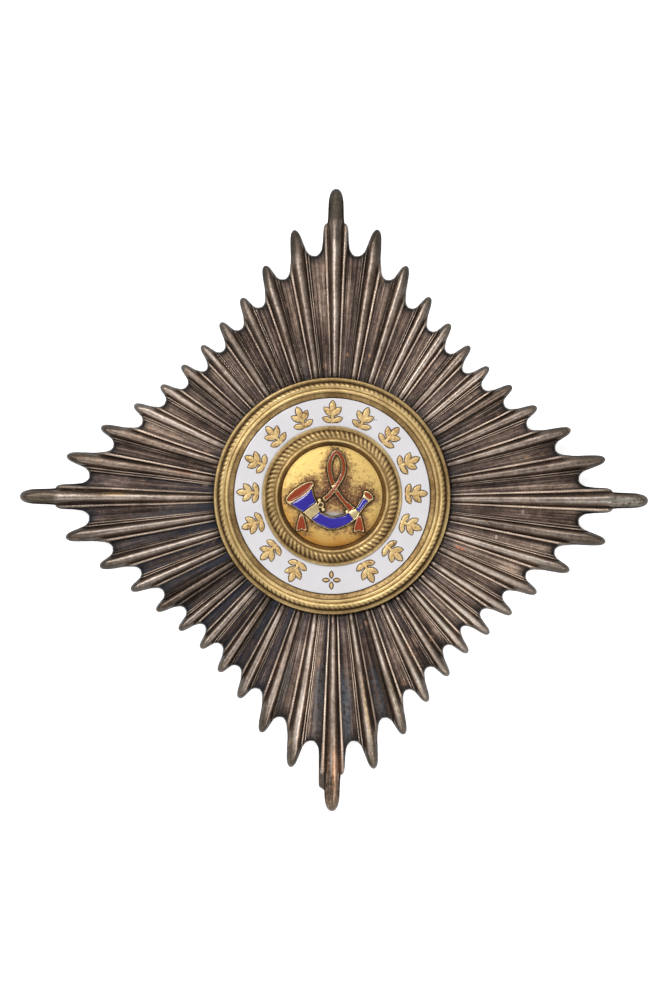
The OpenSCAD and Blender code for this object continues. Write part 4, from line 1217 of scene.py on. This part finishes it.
def lofted(shape, rings, seam):
    """A solid skinned over closed outlines that follow each other, flat at both ends."""
    rings = np.array(rings)
    count, around = rings.shape[:2]
    last = (count - 1) * around
    seam = np.broadcast_to(np.reshape(seam, (-1, 1)), (count, around))
    shape.shell(rings, [*grid_faces(count, around), range(around), range(last, last + around)],
                seam=seam)


def filed_silver():
    silver = Finish("filed silver")
    spot, seam = silver.place(), silver.shape("seam")
    strokes = silver.noise(silver.vector("MULTIPLY", spot, (1, 0.04, 1)), 5200, 3, 0.6)
    cloud, grain = silver.noise(spot, 420, 3, 0.6), silver.noise(spot, 3000, 2, 0.6)
    pale = (strokes * 0.7 + cloud * 0.6 + (grain - 0.5) * 0.3 - seam * 0.6 - 0.2).kept()
    return silver.surface(Base_Color=silver.ramp(pale, FILED_TONES), Metallic=0.9,
                          Roughness=(0.38 + (cloud - 0.5) * 0.3 + seam * 0.2).kept(),
                          Normal=silver.bump(strokes + grain * 0.5, 0.5, 0.05 * MM))


pin = Shape()
for plate_y in (HINGE_Y, CATCH_Y):
    rings = []
    for drop, shrink, _ in PLATE_OUTLINES:
        flat = block_outline(PLATE_HALF_W - shrink, PLATE_HALF_L - shrink, PLATE_CORNER)
        flat = flat + (PIN_X, plate_y)
        rings.append(np.column_stack([flat, star_back(flat[:, 0], flat[:, 1]) - drop]))
    lofted(pin, rings, [seam for _, _, seam in PLATE_OUTLINES])
ear_top = star_back(PIN_X, HINGE_Y) - PLATE_T + 0.1
for first, last in EARS:
    turns = np.radians(np.linspace(180, 360, 19))
    rings = []
    for x, shrink in ((first, 0.05), (first + 0.05, 0), (last - 0.05, 0), (last, 0.05)):
        r = KNUCKLE_R - shrink
        side = [(HINGE_Y + r * math.cos(t), KNUCKLE_Z + r * math.sin(t)) for t in turns]
        side += [(HINGE_Y + r + 0.15, ear_top), (HINGE_Y - r - 0.15, ear_top)]
        rings.append([(PIN_X + x, y, z) for y, z in side])
    lofted(pin, rings, 0.1)
turns = np.radians(np.arange(0, 360, 12))
for section in (KNUCKLE, RIVET):
    lofted(pin, [np.column_stack([0 * turns + PIN_X + x, HINGE_Y + r * np.cos(turns),
                                  KNUCKLE_Z + r * np.sin(turns)]) for x, r in section], 0.0)
rings = []
for up, left, right in BLADE_EDGES:
    across, thick = block_outline((right - left) / 2, BLADE_HALF_T, BLADE_CORNER).T
    rings.append(np.column_stack([
        PIN_X + (left + right) / 2 + across, 0 * across + BLADE_END_Y + up,
        BLADE_END_Z + up * BLADE_SLOPE + thick]))
lofted(pin, rings, 0.0)

line = curve(HOOK, np.linspace(0, len(HOOK) - 1, HOOK_STEPS))
ahead = np.gradient(line[:, :2], axis=0)
ahead = ahead / np.linalg.norm(ahead, axis=1, keepdims=True)
out, wide = block_outline(1, HOOK_HALF_W, HOOK_CORNER).T
rings = [np.column_stack([PIN_X + x + out * thick * -dz, CATCH_Y + wide, z + out * thick * dx])
         for (x, z, thick), (dx, dz) in zip(line, ahead)]
lofted(pin, rings, np.linspace(0.6, 0, HOOK_STEPS))
pin.piece("brooch_pin_soldered", [filed_silver()], "pin_silver", "brooch_pin", sharp=40)
